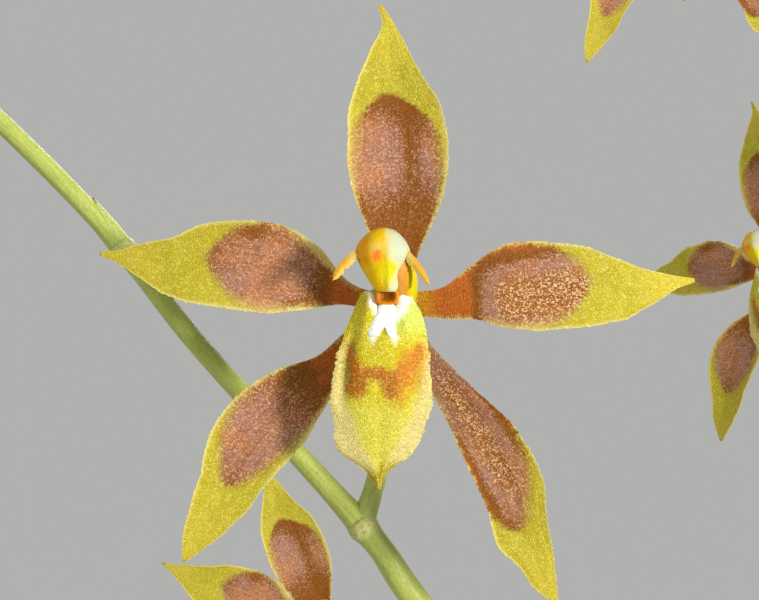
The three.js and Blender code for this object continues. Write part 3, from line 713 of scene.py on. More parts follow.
def lip_surface():
    """Yellow lip with a brown horseshoe, a pale green shoulder, a white callus and a grainy cream margin."""
    s = Surface("lip_surface", TISSUE)
    distance, pick = s.cells(CELL_SIZE)
    fine, soft, broad = s.noise(0.3, 3), s.noise(1.0, 3), s.noise(3, 2)
    inward = s.maths("POWER", s.most(s.plus(s.v, -0.3), 0.0), 1.6)
    rim = s.grain(s.blend((s.aside(), 1), (inward, 0.72)), (fine, 0.16))
    tip = s.plus(s.v, s.cut(0.04, (s.u, 0.56, 0.46)))
    brown = s.coats(
        (182, 92, 0),
        ((158, 88, 8), 1, (s.v, 0.3, 0.44)),
        ((172, 112, 62), 0.6, (broad, 0.5, 0.62)),
    )
    horseshoe = s.step(s.grain(0, (s.w, MASK_SPAN), (fine, 1.0), (soft, 0.8)), -0.5, 0.5)
    granules = s.grain(0.7, (s.w, MASK_SPAN), (fine, 4), (pick, 1.2))
    sprinkled = s.cut(1, (granules, -0.4, 0.4), (s.u, 0.42, 0.32), (s.v, 0.24, 0.3))
    base = s.coats(
        s.mixed(soft, (176, 164, 2), (208, 196, 22)),
        (s.mixed(broad, (184, 180, 34), (208, 198, 74)), 1, (s.v, 0.5, 0.62)),
        (s.mixed(soft, (176, 160, 2), (204, 190, 26)), 0.75, (s.u, 0.5, 0.72), (s.v, 0.34, 0.16)),
        # Painted shade: dark olive in the crease on the viewer's left, where the lip's side folds down
        ((116, 96, 0), 0.8, (s.u, 0.79, 0.86), (s.u, 0.96, 0.91), (s.v, 0.2, 0.28), (s.v, 0.56, 0.48)),
        ((190, 208, 86), 1, (s.u, 0.47, 0.4), (s.v, 0.25, 0.12)),
        ((204, 190, 116), 1, (rim, 0.34, 0.5), (s.v, 0.18, 0.32)),
        ((164, 150, 10), 1, (tip, 0.87, 0.93)),
        (brown, s.times(horseshoe, 0.94)),
        ((196, 126, 34), s.times(sprinkled, 0.75)),
        ((104, 84, 20), 0.22, (pick, 0.4, 0.1)),
        # Painted glints: pale cells, warmer over the brown
        (s.mixed(s.most(sprinkled, horseshoe), (246, 228, 140), (240, 186, 104)), 0.46, (pick, 0.66, 0.96)),
        ((250, 250, 236), 1, (s.grain(0, (s.x, MASK_SPAN), (soft, 1.0)), -0.5, 0.5)),
    )
    return s.finish(base, s.blend((distance, -1), (soft, 1.2)), 0.08)


def column_surface():
    """Waxy yellow column: white on the viewer's right, shaded orange and green, with a spot on the cap."""
    s = Surface("column_surface", {**TISSUE, "Roughness": 0.4})
    soft, fine = s.noise(0.9, 3), s.noise(0.25, 3)
    spot = s.grain(s.x, (fine, 0.9))
    base = s.coats(
        s.mixed(soft, (214, 164, 0), (226, 190, 10)),
        ((212, 128, 2), s.grain(s.v, (soft, 0.3))),
        ((208, 206, 10), s.times(s.x, -1)),
        (s.mixed(s.step(s.u, 0.6, 1.0), (196, 198, 136), (182, 190, 160)), s.grain(s.u, (fine, 0.2))),
        (s.mixed(s.step(spot, 0.7, 1.3), (236, 146, 44), (226, 92, 40)), 1, (spot, 0.1, 0.9)),
        # Dark brown: painted shade that deepens into the stigma's hollow, and a slight even darkening of the
        # club and the wings
        ((84, 28, 4), s.w),
    )
    return s.finish(base, s.plus(soft, fine), 0.08)


def stem_surface():
    """Green stem with fine lines along it, brown-flecked bracts, and yellow-green buds."""
    s = Surface("stem_surface", {"Roughness": 0.45, **FLESH})
    lines, soft, fleck = s.noise(0.06, 2, s.along(0.4)), s.noise(2.5, 3), s.noise(0.45, 2)
    base = s.coats(
        s.mixed(soft, (142, 154, 58), (174, 182, 94)),
        ((186, 196, 110), 0.3, (lines, 0.4, 0.7)),
        ((112, 88, 40), 0.3, (fleck, 0.64, 0.74)),
        (s.mixed(s.step(soft, 0.4, 0.65), (158, 160, 44), (134, 96, 34)), s.x),
        (s.mixed(s.step(fleck, 0.45, 0.7), (190, 192, 128), (166, 138, 84)), s.w),
    )
    return s.finish(base, s.plus(lines, fleck), 0.1)


def leaf_surface():
    """Leathery green leaf with fine veins along it, a pale keel below, and a sheath-like pale foot."""
    s = Surface("leaf_surface", {
        "Roughness": 0.38, "Specular IOR Level": 0.45, "Coat Weight": 0.12, "Coat Roughness": 0.3,
        "Subsurface Weight": 0.06, "Subsurface Scale": 0.001,
    })
    veins, broad, mottle = s.noise(0.022, 2, s.along(0.25)), s.noise(22, 3), s.noise(2.2, 4)
    dry = s.step(s.grain(s.v, (mottle, 0.02)), 0.975, 0.99)
    base = s.coats(
        s.mixed(s.step(broad, 0.35, 0.65), (52, 84, 22), (86, 118, 38)),
        ((104, 132, 54), 0.4, (veins, 0.46, 0.66)),
        ((44, 70, 24), 0.35, (mottle, 0.56, 0.72)),
        ((112, 138, 60), 1, (s.aside(), 0.035, 0.008)),
        ((124, 146, 74), s.times(s.w, 0.55)),
        ((166, 166, 96), 1, (s.v, 0.1, 0.02)),
        ((120, 88, 44), s.most(dry, s.cut(s.x, (mottle, 0.5, 0.62)))),
    )
    return s.finish(base, s.blend((veins, 1.4), (mottle, 1)), 0.14)


def bulb_surface():
    """Smooth green pseudobulb with faint streaks, and brown papery sheaths round its foot."""
    s = Surface("bulb_surface", {
        "Roughness": 0.4, "Specular IOR Level": 0.45, "Subsurface Weight": 0.08, "Subsurface Scale": 0.002,
    })
    streak, broad, fleck = s.noise(0.03, 3, s.along(0.3)), s.noise(9, 3), s.noise(1.0, 3)
    base = s.coats(
        s.mixed(broad, (96, 112, 34), (146, 152, 66)),
        ((166, 164, 92), 0.5, (streak, 0.5, 0.7)),
        ((92, 66, 34), 0.6, (fleck, 0.62, 0.74)),
        (s.mixed(s.step(streak, 0.42, 0.6), (176, 150, 104), (118, 88, 52)), s.w),
    )
    return s.finish(base, s.blend((streak, 1), (fleck, 0.6)), 0.25)


def root_surface():
    """Silvery roots with green growing tips, on a scaly brown rhizome."""
    s = Surface("root_surface", {"Roughness": 0.75})
    fine, broad = s.noise(0.6, 4), s.noise(5, 3)
    base = s.coats(
        s.mixed(broad, (196, 194, 172), (156, 158, 122)),
        ((120, 112, 84), 1, (fine, 0.55, 0.72)),
        ((112, 132, 60), s.x),
        (s.mixed(fine, (92, 70, 42), (140, 116, 74)), s.w),
    )
    return s.finish(base, fine, 0.3)


def bark_surface():
    """Chips of fir bark, each its own brown, with layers along their sides and paler broken ends."""
    s = Surface("bark_surface", {"Roughness": 0.9, "Specular IOR Level": 0.25})
    layers = s.noise(0.09, 4, s.joined(s.times(s.u, 0.3), s.v, s.w))
    crumbs, broad = s.noise(0.8, 4), s.noise(6, 2)
    base = s.coats(
        s.mixed(broad, (46, 28, 18), (74, 46, 30)),
        ((124, 82, 54), s.w),
        ((40, 24, 16), 0.7, (layers, 0.45, 0.6)),
        ((156, 108, 70), s.x, (crumbs, 0.4, 0.6)),
        ((150, 124, 98), 0.6, (crumbs, 0.66, 0.74)),
    )
    return s.finish(base, s.blend((layers, 1.5), (crumbs, 1)), 0.7)


def clay_surface():
    """Unglazed fired clay: sandy, with wheel lines, a damp foot and pale lime bloom."""
    s = Surface("clay_surface", {"Roughness": 0.92, "Specular IOR Level": 0.2})
    sand, broad, cloud = s.noise(0.5, 3), s.noise(24, 3), s.noise(9, 5, roughness=0.65)
    wheel = s.noise(0.018, 2, s.joined(s.times(s.u, 0.02), s.v))
    base = s.coats(
        s.mixed(broad, (148, 86, 60), (166, 104, 76)),
        ((128, 70, 48), 0.45, (sand, 0.52, 0.7)),
        ((178, 122, 94), 0.25, (wheel, 0.5, 0.7)),
        ((112, 58, 38), 0.55, (s.grain(s.v, (cloud, 0.3)), 0.26, 0.02)),
        ((198, 168, 144), 0.45, (cloud, 0.48, 0.84), (s.v, 0.1, 0.5)),
        ((92, 64, 44), s.times(s.w, 0.6)),
    )
    return s.finish(base, s.blend((sand, 1), (wheel, 1.2)), 0.25)


def inside_radius(z):
    """Radius of the pot's inside at a height."""
    low = POT_FOOT_RADIUS - POT_WALL
    high = POT_RIM_RADIUS - POT_WALL - 1.5
    return mix(low, high, (z - POT_FLOOR) / (POT_HEIGHT - POT_FLOOR))


def pot_profile():
    """Outer and inner line of the pot, from the middle of its foot round to the middle of its floor."""
    foot, rim = POT_FOOT_RADIUS, POT_RIM_RADIUS
    top, rim_foot, wall_top = POT_HEIGHT, POT_HEIGHT - POT_RIM_HEIGHT, POT_RIM_RADIUS - POT_RIM_STEP
    outer = [
        (0.01, 0), (36, 0), (foot - 1.2, 0), (foot - 0.2, 0.5), (foot + 0.3, 1.6),
        (wall_top - 1.9, rim_foot - 2), (wall_top - 1.5, rim_foot - 0.3), (wall_top - 0.6, rim_foot),
        (rim - 1.8, rim_foot), (rim - 0.9, rim_foot + 0.5), (rim - 0.7, rim_foot + 1.5),
        (rim - 0.1, top - 2.4), (rim - 0.4, top - 1), (rim - 1.5, top - 0.1), (rim - 3, top),
    ]
    mouth, low = inside_radius(top), inside_radius(POT_FLOOR)
    inner = [
        (mouth + 1.2, top - 0.1), (mouth + 0.3, top - 0.8), (mouth, top - 2), (inside_radius(60), 60),
        (inside_radius(20), 20), (low - 1, POT_FLOOR + 1), (low - 4, POT_FLOOR), (0.01, POT_FLOOR),
    ]
    return outer + inner


def drain_hole(index):
    """Cutter through the pot's floor."""
    angle = 2 * math.pi * (index + DRAIN_TURN) / DRAIN_COUNT
    form = Form()
    path = [polar(DRAIN_RING_RADIUS, angle, z) for z in (-CUTTER_MARGIN, POT_FLOOR + CUTTER_MARGIN)]
    form.tube(path, lambda k, a: DRAIN_RADIUS, DRAIN_SIDES, NO_PAINT)
    return form


def pot_values(point):
    around = math.atan2(point.y, point.x) / math.tau + 0.5
    inner = math.hypot(point.x, point.y) < inside_radius(point.z) + 0.8 and point.z > 1
    return (around, point.z / POT_HEIGHT, 1.0 if inner and point.z < POT_HEIGHT - 3 else 0.0, 0)


def pot_form():
    """The turned pot with its drain holes cut through."""
    body = Form()
    body.skin(pot_profile(), POT_SIDES, lambda step: lambda a: (polar(step[0], a, step[1]), NO_PAINT))
    pot = mesh_object("pot_blank", body, weld)
    cutters = [mesh_object(f"cutter_{i}", drain_hole(i), weld) for i in range(DRAIN_COUNT)]
    for cutter in cutters:
        cut = pot.modifiers.new("hole", "BOOLEAN")
        cut.operation = "DIFFERENCE"
        cut.solver = "EXACT"
        cut.object = cutter
    holed = pot.evaluated_get(bpy.context.evaluated_depsgraph_get()).to_mesh()
    form = Form()
    form.points = [vertex.co / MM for vertex in holed.vertices]
    form.faces = [tuple(polygon.vertices) for polygon in holed.polygons]
    form.values = [pot_values(point) for point in form.points]
    for obj in (pot, *cutters):
        bpy.data.objects.remove(obj)
    return form


def add_chip(form, draw, centre, turn):
    """One chip: a flat, blunt-ended slab with uneven sides, kept inside the pot."""
    long, wide, thick = (size * draw.uniform(0.6, 1.3) for size in CHIP_SIZE)
    shade, seed = draw.random(), draw.uniform(0, 90)

    def ring(end):
        taper = 0.72 if abs(end) == 1 else 1

        def at(angle):
            corner = angle + math.pi / CHIP_SIDES
            y, z = (math.copysign(abs(value) ** 0.5, value) for value in (math.cos(corner), math.sin(corner)))
            bump = 1 + 0.22 * ripple(end * 1.4 + seed, y * 1.3, z * 1.3)
            place = centre + turn @ Vector((
                long * end * (1 + 0.12 * ripple(seed, y * 2, z * 2)),
                wide * y * taper * bump + 0.2 * wide * ripple(seed + 9, end),
                thick * z * taper * bump + 0.5 * thick * ripple(seed, end * 1.1),
            ))
            inward = min((inside_radius(place.z) - 0.6) / math.hypot(place.x, place.y), 1)
            place = (place.x * inward, place.y * inward, clamp(place.z, POT_FLOOR + 1, BARK_TOP))
            return place, (0.5 + end / 2 + shade * 3, angle / math.tau, shade, 1.0 if abs(end) > 0.9 else 0.0)

        return at

    form.skin(CHIP_ENDS, CHIP_SIDES, ring)


def bark_form():
    """Bark that fills the pot: an uneven bed, with loose chips lying over the whole top."""
    draw = random.Random(BARK_SEED)
    form = Form()

    def ring(step):
        radius, z = step

        def at(angle):
            place = polar(radius, angle, z)
            place.z += 1.2 * ripple(place.x / 7, place.y / 7) if z > 87 else 0
            return place, (10 * angle / math.tau, z / 20, 0.1, 0)

        return at

    bed = ((1, POT_FLOOR + 0.6), (inside_radius(8) - 0.5, POT_FLOOR + 0.6), (inside_radius(86) - 0.5, 86),
           (inside_radius(88) - 3, 88.5), (34, 89), (1, 90))
    form.skin(bed, BED_SIDES, ring)
    golden = math.pi * (3 - math.sqrt(5))
    for i in range(CHIP_COUNT):
        radius = (inside_radius(BARK_LEVEL) - 5) * math.sqrt((i * 7 % CHIP_COUNT + 0.5) / CHIP_COUNT)
        centre = polar(radius, i * golden, draw.uniform(87.5, 95))
        turn = (Matrix.Rotation(draw.uniform(0, 2 * math.pi), 3, "Z")
                @ Matrix.Rotation(draw.gauss(0, 0.38), 3, "X") @ Matrix.Rotation(draw.gauss(0, 0.3), 3, "Y"))
        add_chip(form, draw, centre, turn)
    return form


def bulb_point(bulb, t, angle, grow=0.0):
    """Place on a pseudobulb: t up it and an angle round it."""
    swell = math.sin(math.pi * mix(0.2, 0.9, t)) ** 0.85
    furrow = 1 - 0.035 * (0.5 - 0.5 * math.cos(7 * angle)) ** 2 * smooth(0, 0.2, t)
    furrow += 0.012 * ripple(3 * math.cos(angle), 3 * math.sin(angle), t * 4 + bulb["foot"][0])
    local = Vector((
        (bulb["thin"] * swell * furrow + grow) * math.cos(angle),
        (bulb["broad"] * swell * furrow + grow) * math.sin(angle),
        BULB_FOOT_Z + t * bulb["height"],
    ))
    return Matrix.Rotation(bulb["turn"] * DEGREE, 3, "Z") @ local + Vector((*bulb["foot"], 0))


def bulb_form(bulb):
    """A flattened, furrowed egg, closed over its top, with two papery sheaths clasping its foot."""
    form = Form()

    def ring(k):
        t, past = min(k / BULB_RINGS, 1), max(k - BULB_RINGS, 0)
        centre = Vector((*bulb["foot"], BULB_FOOT_Z + t * bulb["height"]))

        def at(angle):
            place = centre + (bulb_point(bulb, t, angle) - centre) * (1 - 0.42 * past)
            return place + UP * (0.25 * past), (angle / math.tau, t, 0, 0)

        return at

    form.skin(range(BULB_RINGS + 3), BULB_SIDES, ring)
    for side, top in SHEATHS:
        add_sheath(form, bulb, side * DEGREE, top)
    return form


def add_sheath(form, bulb, side, top):
    """Dry sheath on one side of a pseudobulb, with a ragged, slightly open upper edge."""
    seed = bulb["foot"][0] + side

    def row(s):
        def at(q, face):
            angle = side + q * 1.75 * (1 - 0.35 * s)
            ragged = top * (1 - 0.3 * q * q) + 0.03 * ripple(q * 5, seed) + 0.02 * ripple(q * 17, seed)
            t = mix(0.08, ragged, s)
            return bulb_point(bulb, t, angle, 0.3 + 0.9 * s**3 + 0.09 * face), (q * 0.6, s * 0.5, 1, 0)

        return at

    form.blade(20, 36, row)


def roots_form():
    """Creeping rhizome with its scale rings, and pale roots that loop over the bark."""
    form = Form()
    form.tube(curve_points(RHIZOME, 12), lambda k, a: RHIZOME_RADIUS * (1 - 0.1 * (k % 6 == 0)), 20,
              lambda k: (k / 12, 1, 0))
    for index, knots in enumerate(ROOTS):
        path = curve_points(knots, 14)
        last = len(path) - 1

        def radius(k, a):
            return ROOT_RADIUS * (1 + 0.09 * ripple(k * 0.35, math.cos(a), index)) * (1 if k < last else 0.5)

        form.tube(path, radius, 14, lambda k: (k / 14, 0, smooth(0.86, 0.98, k / last)))
    return form


def leaf_foot(start, heading):
    if isinstance(start, tuple):
        return Vector(start)
    bulb = BULBS[start]
    return Vector((*bulb["foot"], BULB_FOOT_Z + bulb["height"] + 0.5)) + heading * LEAF_SET_OFF


def leaf_form(leaf):
    """Strap leaf: it leaves steeply, folded along its midrib, then opens out and arches over."""
    seed = leaf["azimuth"]
    heading = polar(1, seed * DEGREE, 0)
    across = heading.cross(UP)

    def climb_at(s):
        return mix(leaf["rise"], leaf["droop"], s**LEAF_BEND) * DEGREE

    places = [leaf_foot(leaf["start"], heading)]
    for k in range(LEAF_ROWS):
        climb = climb_at((k + 0.5) / LEAF_ROWS)
        step = (heading * math.cos(climb) + UP * math.sin(climb)) * leaf["length"] / LEAF_ROWS
        places.append(places[-1] + step)

    def row(s):
        climb = climb_at(s)
        upper = UP * math.cos(climb) - heading * math.sin(climb)
        half = leaf["width"] / 2 * spline(LEAF_STATIONS, LEAF_HALF_WIDTH, s)
        fold = spline(LEAF_STATIONS, LEAF_FOLD, s)
        middle = places[round(s * LEAF_ROWS)]

        def at(q, face):
            lift = half * fold * (math.sqrt(q * q + 0.004) - 0.04) - 0.1 * half * q**4
            lift += 0.5 * abs(q) ** 3 * ripple(s * 7, 2 * q, seed) * smooth(0.1, 0.3, s)
            thickness = mix(1.25, 0.45, abs(q) ** 0.8)
            keel = 0.5 * hump(q, 0, 0.09) if face < 0 else -0.22 * hump(q, 0, 0.07)
            height = lift + (thickness / 2 if face > 0 else -thickness / 2 - keel)
            height += (keel if face > 0 else 0) + 0.06 * face * math.cos(14 * q)
            point = middle + across * (q * half) + upper * height
            return point, (q / 2 + 0.5, s, 0.0 if face > 0 else 1.0, smooth(0.96, 1, abs(q)) * 0.5)

        return at

    form = Form()
    form.blade(LEAF_ROWS, LEAF_COLUMNS, row)
    return form


def bloom_matrix(bloom):
    azimuth, pitch, roll = (angle * DEGREE for angle in bloom["turns"])
    return (
        Matrix.Translation(bloom["at"])
        @ Matrix.Rotation(azimuth, 4, "Z")
        @ Matrix.Rotation(pitch, 4, "X")
        @ Matrix.Rotation(roll, 4, "Y")
    )


def add_bract(form, foot, direction, facing, length, stem_radius, spread):
    """Thin green scale that clasps a stem, with a brownish rim and point. It stands off by its spread."""
    direction = direction.normalized()
    front = (facing - direction * facing.dot(direction)).normalized()
    side = direction.cross(front)

    def row(s):
        def at(q, face):
            angle = q * 2.0 * (1 - s) ** 0.55
            reach = stem_radius + (0.12 + spread * smooth(0, 0.5, s)) * (1 - 0.8 * q**4) + 0.06 * face
            around = front * math.cos(angle) + side * math.sin(angle)
            share = mix(-0.08, 1, s) - 0.12 * (1 - q * q) * (1 - s)
            papery = 0.3 * smooth(0.5, 1, abs(q)) + 0.7 * smooth(0.72, 1, s) + 0.6 * smooth(0.12, 0, s)
            return foot + direction * (share * length) + around * reach, (q, s, clamp(papery), 0)

        return at

    form.blade(20, 14, row)


def stem_path(name):
    return curve_points(STEMS[name]["knots"], STEM_STEPS)


def stem_radius(name, share):
    return float(np.interp(share, *STEMS[name]["taper"]))


def add_stem(form, name):
    """One axis of the spray, a little swollen at its nodes."""
    path = stem_path(name)
    last = len(path) - 1
    noded = {entry["knot"] * STEM_STEPS for entry in [*BLOOMS, *BUDS] if entry["stem"] == name}
    noded |= {knot * STEM_STEPS for owner, knot in BARE_NODES if owner == name}

    def radius(k, angle):
        swelling = sum(hump(k, node, 1.6) for node in noded if abs(k - node) < 6)
        return stem_radius(name, k / last) * (1 + 0.16 * swelling + 0.02 * math.cos(6 * angle))

    form.tube(path, radius, STEM_SIDES, lambda k: (k / STEM_STEPS, 0, 0))


def knot_place(stem, knot):
    """A stem's knot, the way the stem runs there and its radius."""
    path, k = stem_path(stem), round(knot * STEM_STEPS)
    onward = path[min(k + 2, len(path) - 1)] - path[max(k - 2, 0)]
    return path[k], onward.normalized(), stem_radius(stem, k / (len(path) - 1))


def add_collar(form, foot, onward, radius):
    """Pale ring left round the stem at a node."""
    path = [foot + onward * step for step in (-1.5, -1.1, -0.6, 0, 0.5, 0.8)]
    swell = (0.02, 0.14, 0.28, 0.3, 0.18, 0.02)
    form.tube(path, lambda k, angle: radius * 1.1 + swell[k], 24,
              lambda k: (k / 9, 0.75 * hump(k, 2.5, 1.5), 0))


def add_pedicel(form, bloom):
    """Stalk of one bloom: up from the stem, then forward into the ovary behind the bloom."""
    matrix = bloom_matrix(bloom)
    foot, onward, radius = knot_place(bloom["stem"], bloom["knot"])
    behind, neck, back = (matrix @ Vector((0, y, 0)) for y in (14, 5.5, 2.6))
    rise = (foot + UP * 8).lerp(behind, 0.3) + Vector(bloom.get("stalk", (0, 0, 0)))
    steps = range(PEDICEL_STEPS + 1)
    path = [bezier(foot, rise, behind, neck, k / PEDICEL_STEPS) for k in steps] + [back]
    last = len(path) - 1

    def girth(k, angle):
        t = k / last
        ovary = smooth(0.45, 0.8, t)
        return (0.95 + 0.35 * hump(t, 0, 0.08) + 0.42 * ovary) * (1 + 0.05 * ovary * math.cos(6 * angle))

    form.tube(path, girth, 18, lambda k: (k / 8, 0, 0))
    add_bract(form, foot, path[8] - foot, -onward, *PEDICEL_BRACT)
    add_collar(form, foot, onward, radius)


def add_bud(form, bud):
    """Closed bud of three seamed sepals, on a short stalk. Shares above 1 lie on the bud itself."""
    foot, onward, radius = knot_place(bud["stem"], bud["knot"])
    reach = Vector(bud["toward"]) * bud["size"]
    length = BUD_LENGTH * bud["size"] / reach.length
    stations = [0, 0.3, 0.92, 1.05, 1 + 0.3 * length, 1 + 0.6 * length, 1 + 0.9 * length, 1 + length]
    girths = [1.2, 0.95, 0.9, 1.2, 2.85, 2.25, 0.56, 0.16]
    swollen = [g * (bud["size"] if g > 1.3 else 1) for g in girths]

    def share(k):
        return (1 + length) * k / BUD_STEPS

    def girth(k, angle):
        t = share(k)
        lobes = 1 - 0.09 * abs(math.cos(1.5 * angle)) ** 6 * smooth(1, 1.2, t)
        return max(spline(stations, swollen, t), 0.12) * lobes

    path = [foot + reach * share(k) for k in range(BUD_STEPS + 1)]
    form.tube(path, girth, 21, lambda k: (k / 12, 0, smooth(0.98, 1.12, share(k))))
    add_bract(form, foot, reach, onward, *BUD_BRACT)
    add_collar(form, foot, onward, radius)


def spray_form():
    """The scape and its branches, with every stalk, bud, bract and collar."""
    form = Form()
    for name in STEMS:
        add_stem(form, name)
    for bloom in BLOOMS:
        add_pedicel(form, bloom)
    for bud in BUDS:
        add_bud(form, bud)
    for stem, knot in BARE_NODES:
        foot, onward, radius = knot_place(stem, knot)
        ahead = stem_path(stem)[round(knot * STEM_STEPS) + 5] - foot
        facing = Vector((math.cos(BRACT_TURN * knot), 0.3, math.sin(BRACT_TURN * knot)))
        add_bract(form, foot, ahead, facing, 4 + 2 * radius, radius, 0.15)
        add_collar(form, foot, onward, radius)
    return form


def patches(entries, s, lateral):
    """Sum of soft patches at a place on a tepal."""
    return sum(amount * hump(s, at, along) * hump(lateral, aside, wide)
               for at, aside, along, wide, amount in entries)


def tepal_row(shape, angle, seed):
    """Cross-section of a sepal or petal: its outline, its curves and its blotch."""
    out = Vector((math.cos(angle), 0, math.sin(angle)))
    side = Vector((out.z, 0, -out.x))
    widest = max(a + b for a, b in zip(shape["left"], shape["right"])) / 2

    def row(s):
        left, right = (spline(OUTLINE_STATIONS, shape[name], s) for name in ("left", "right"))
        low, high = (spline(BLOTCH_STATIONS, shape[name], s) for name in ("low", "high"))
        close = math.sqrt(1 - clamp(1 + (s - shape["end"]) / BLOTCH_ROUNDING) ** 2)
        low, high = (mix((low + high) / 2, border, close) for border in (low, high))
        half = (left + right) / 2
        reach = mix(TEPAL_ROOT_RADIUS, shape["length"], s)
        wave = smooth(0.15, 0.4, s) * smooth(1, 0.8, s)

        def at(q, face):
            grain = 0.14 * ripple(reach / 0.36, 3 * q, seed) + 0.16 * ripple(reach / 2.2, q, seed + 5)
            lateral = mix(-left, right, q / 2 + 0.5) + q * grain * smooth(0.7, 1, abs(q)) * wave
            thickness = mix(0.75, 0.26, abs(q) ** 1.6) * smooth(1.08, 0.85, s)
            forward = (
                -TEPAL_ROOT_DEPTH
                + shape["arch"] * math.sin(math.pi * s)
                - shape["reflex"] * s**3
                + shape["cup"] * q * q * half / widest
                + shape["tilt"] * q * half
                + face * thickness / 2
            )
            forward += wave * (0.3 * q * q * ripple(s * 5, q, seed) - 0.16 * hump(q, 0, 0.1) * face)
            forward += 0.03 * wave * math.cos(11 * q)
            inside = min(lateral - low, high - lateral, (shape["end"] - s) * shape["length"])
            tone = clamp(patches(shape["tones"], s, lateral), -0.75, 1.05)
            # Gleam patches, where the cells carry strong painted glints
            gleam = clamp(patches(shape.get("gleams", []), s, lateral))
            point = out * reach + side * lateral + Vector((0, -forward, 0))
            shade = 0.6 + 0.4 * tone + gleam if face > 0 else 0.0
            return point, (q / 2 + 0.5, s, stored(inside), shade)

        return at

    return row


def tepals_form(lean, size, seed):
    """Five tepals on a short green-yellow receptacle."""
    form = Form()
    path = [Vector((0, y, 0)) for y in (3, 2.6, 1.8, 0.9, 0.2, -0.3)]
    radii = [1.55, 1.7, 2.2, 2.5, 2.3, 1.4]
    form.tube(path, lambda k, angle: radii[k], 24, (0.3, 0.5, 0, 0))
    for index, shape in enumerate(TEPALS):
        angle = shape["angle"] + (lean if shape["name"] == "dorsal sepal" else 0)
        form.blade(*size, tepal_row(shape, angle * DEGREE, seed + 7 * index))
    return form


def lip_forward(s, q):
    """Forward reach of the lip's surface at s from its top to its tip, and q across it."""
    bulge = 1.3 * math.sin(math.pi * s**0.7)
    return mix(*LIP["forward"], s) + bulge + LIP["roll"] * q * q * (1 - (0.85 if q > 0 else 0.45) * s)


def lip_row(seed):
    """Cross-section of the lip. q runs from the viewer's right, -1, to the viewer's left, 1."""
    def row(s):
        wide = [spline(LIP_STATIONS, LIP[name], s) for name in ("viewer_right", "viewer_left")]
        down = s * LIP["length"]
        fade = clamp(1 - s / 0.2) ** 2
        frill = smooth(0.1, 0.3, s) * smooth(1, 0.93, s)

        def at(q, face):
            edge = abs(q)
            toothed = 0.3 * ripple(down / 0.32, 4 * q, seed) + 0.2 * ripple(down / 1.3, q, seed + 3)
            lateral = q * (wide[q > 0] + toothed * smooth(0.75, 1, edge) * frill)
            notch = 1.8 * smooth(0.44, 0.16, edge) - 0.5 * hump(edge, 0.66, 0.26)
            notch += 0.6 * smooth(0.85, 1, edge)
            z = LIP["top"] - down - notch * fade
            forward = lip_forward(s, q)
            forward += 0.42 * hump(edge, 0.55, 0.17) * smooth(0.34, 0.08, s)
            forward -= 0.6 * hump(q, 0.76, 0.12) * hump(s, 0.38, 0.17)
            forward -= 0.25 * hump(q, -0.66, 0.12) * hump(s, 0.4, 0.2)
            forward += 0.25 * smooth(0.7, 1, edge) * ripple(down / 1.9, 2 * q, seed + 8) * frill
            forward -= 0.12 * hump(q, 0, 0.2) * smooth(0.3, 0.5, s)
            forward += face * mix(0.7, 0.28, edge**2) / 2
            point = Vector((mix(*LIP["middle"], s) - lateral, -forward, z))
            brown = stroke_mask(LIP_BROWN, -lateral, down)
            white = stroke_mask(LIP_WHITE, -lateral, down)
            return point, (q / 2 + 0.5, s, stored(brown), stored(white if face > 0 else -2))

        return at

    return row


def callus_row(s):
    """Cross-section of the white plate below the column, which splits into two spreading teeth."""
    def at(q, face):
        bottom = 4.15 + 0.15 * q - 0.95 * hump(q, 0.11, 0.22) - 0.45 * smooth(0.8, 1, abs(q))
        down = mix(CALLUS_DOWN[0], bottom, s)
        left, right = (spline(CALLUS_DOWN, side, down) for side in (CALLUS_LEFT, CALLUS_RIGHT))
        across = mix(left, right, q / 2 + 0.5)
        share = down / LIP["length"]
        raised = mix(0.4, 0.62, s) * (1 - q**6) * smooth(1.08, 0.88, s)
        raised -= 0.14 * hump(q, 0.11, 0.22) * smooth(0.4, 0.9, s) - 0.08 * ripple(3 * q, 4 * s)
        forward = lip_forward(share, 0) + (max(raised, 0.12) if face > 0 else -0.3)
        return (mix(*LIP["middle"], share) + across, -forward, LIP["top"] - down), (0.5, 0.1, 0, 1)

    return at


def lip_form(size, seed):
    """The lip's blade with its callus, and the hidden claw that carries it."""
    form = Form()
    form.blade(*size, lip_row(seed))
    form.blade(26, 24, callus_row)
    claw = [Vector((-0.35, -y, -1.5)) for y in (0.2, 1.5, 3, 4.2)]
    form.tube(claw, lambda k, angle: 1.05, 14, (0.5, 0.1, 0, 0.4))
    return form


def add_cap(form, rings, sides):
    """Anther cap: a helmet with a beak, white on its right and orange on its left, with one spot."""
    stations = [k / 8 for k in range(9)]

    def ring(t):
        z, left, right, forward, depth = (spline(stations, values, t) for values in CAP_RINGS)
        border = spline(CAP_BORDER_HEIGHT, CAP_BORDER, z)

        def at(angle):
            outward = math.sin(angle)
            x = (left + right) / 2 + (right - left) / 2 * math.cos(angle)
            y = -(forward + depth * outward)
            ridge = 0.25 * hump(x, -0.4, 0.35) * smooth(-0.2, 0.8, outward) * smooth(0.2, 0.6, t)
            white = 0.8 * smooth(-0.16, 0.2, x - border) + 0.2 * smooth(0.2, 1.4, x - border)
            white += 0.45 * hump(x, -1.55, 0.6) * hump(z, 5.3, 0.5)
            orange = 0.7 * smooth(-2.0, -2.6, x) * smooth(3.2, 4.2, z) + 0.3 * smooth(0.3, -0.6, outward)
            spot = 1 - smooth(0.35, 0.8, math.hypot(x + 1.6, (z - 4.55) * 0.9))
            spot -= 0.9 * hump(x, -0.7, 0.7) * hump(z, 3.0, 1.1)
            return (x, y - ridge, z), (white, clamp(orange), 0, spot if outward > 0 else 0)

        return at

    form.skin([k / rings for k in range(rings + 1)], sides, ring)


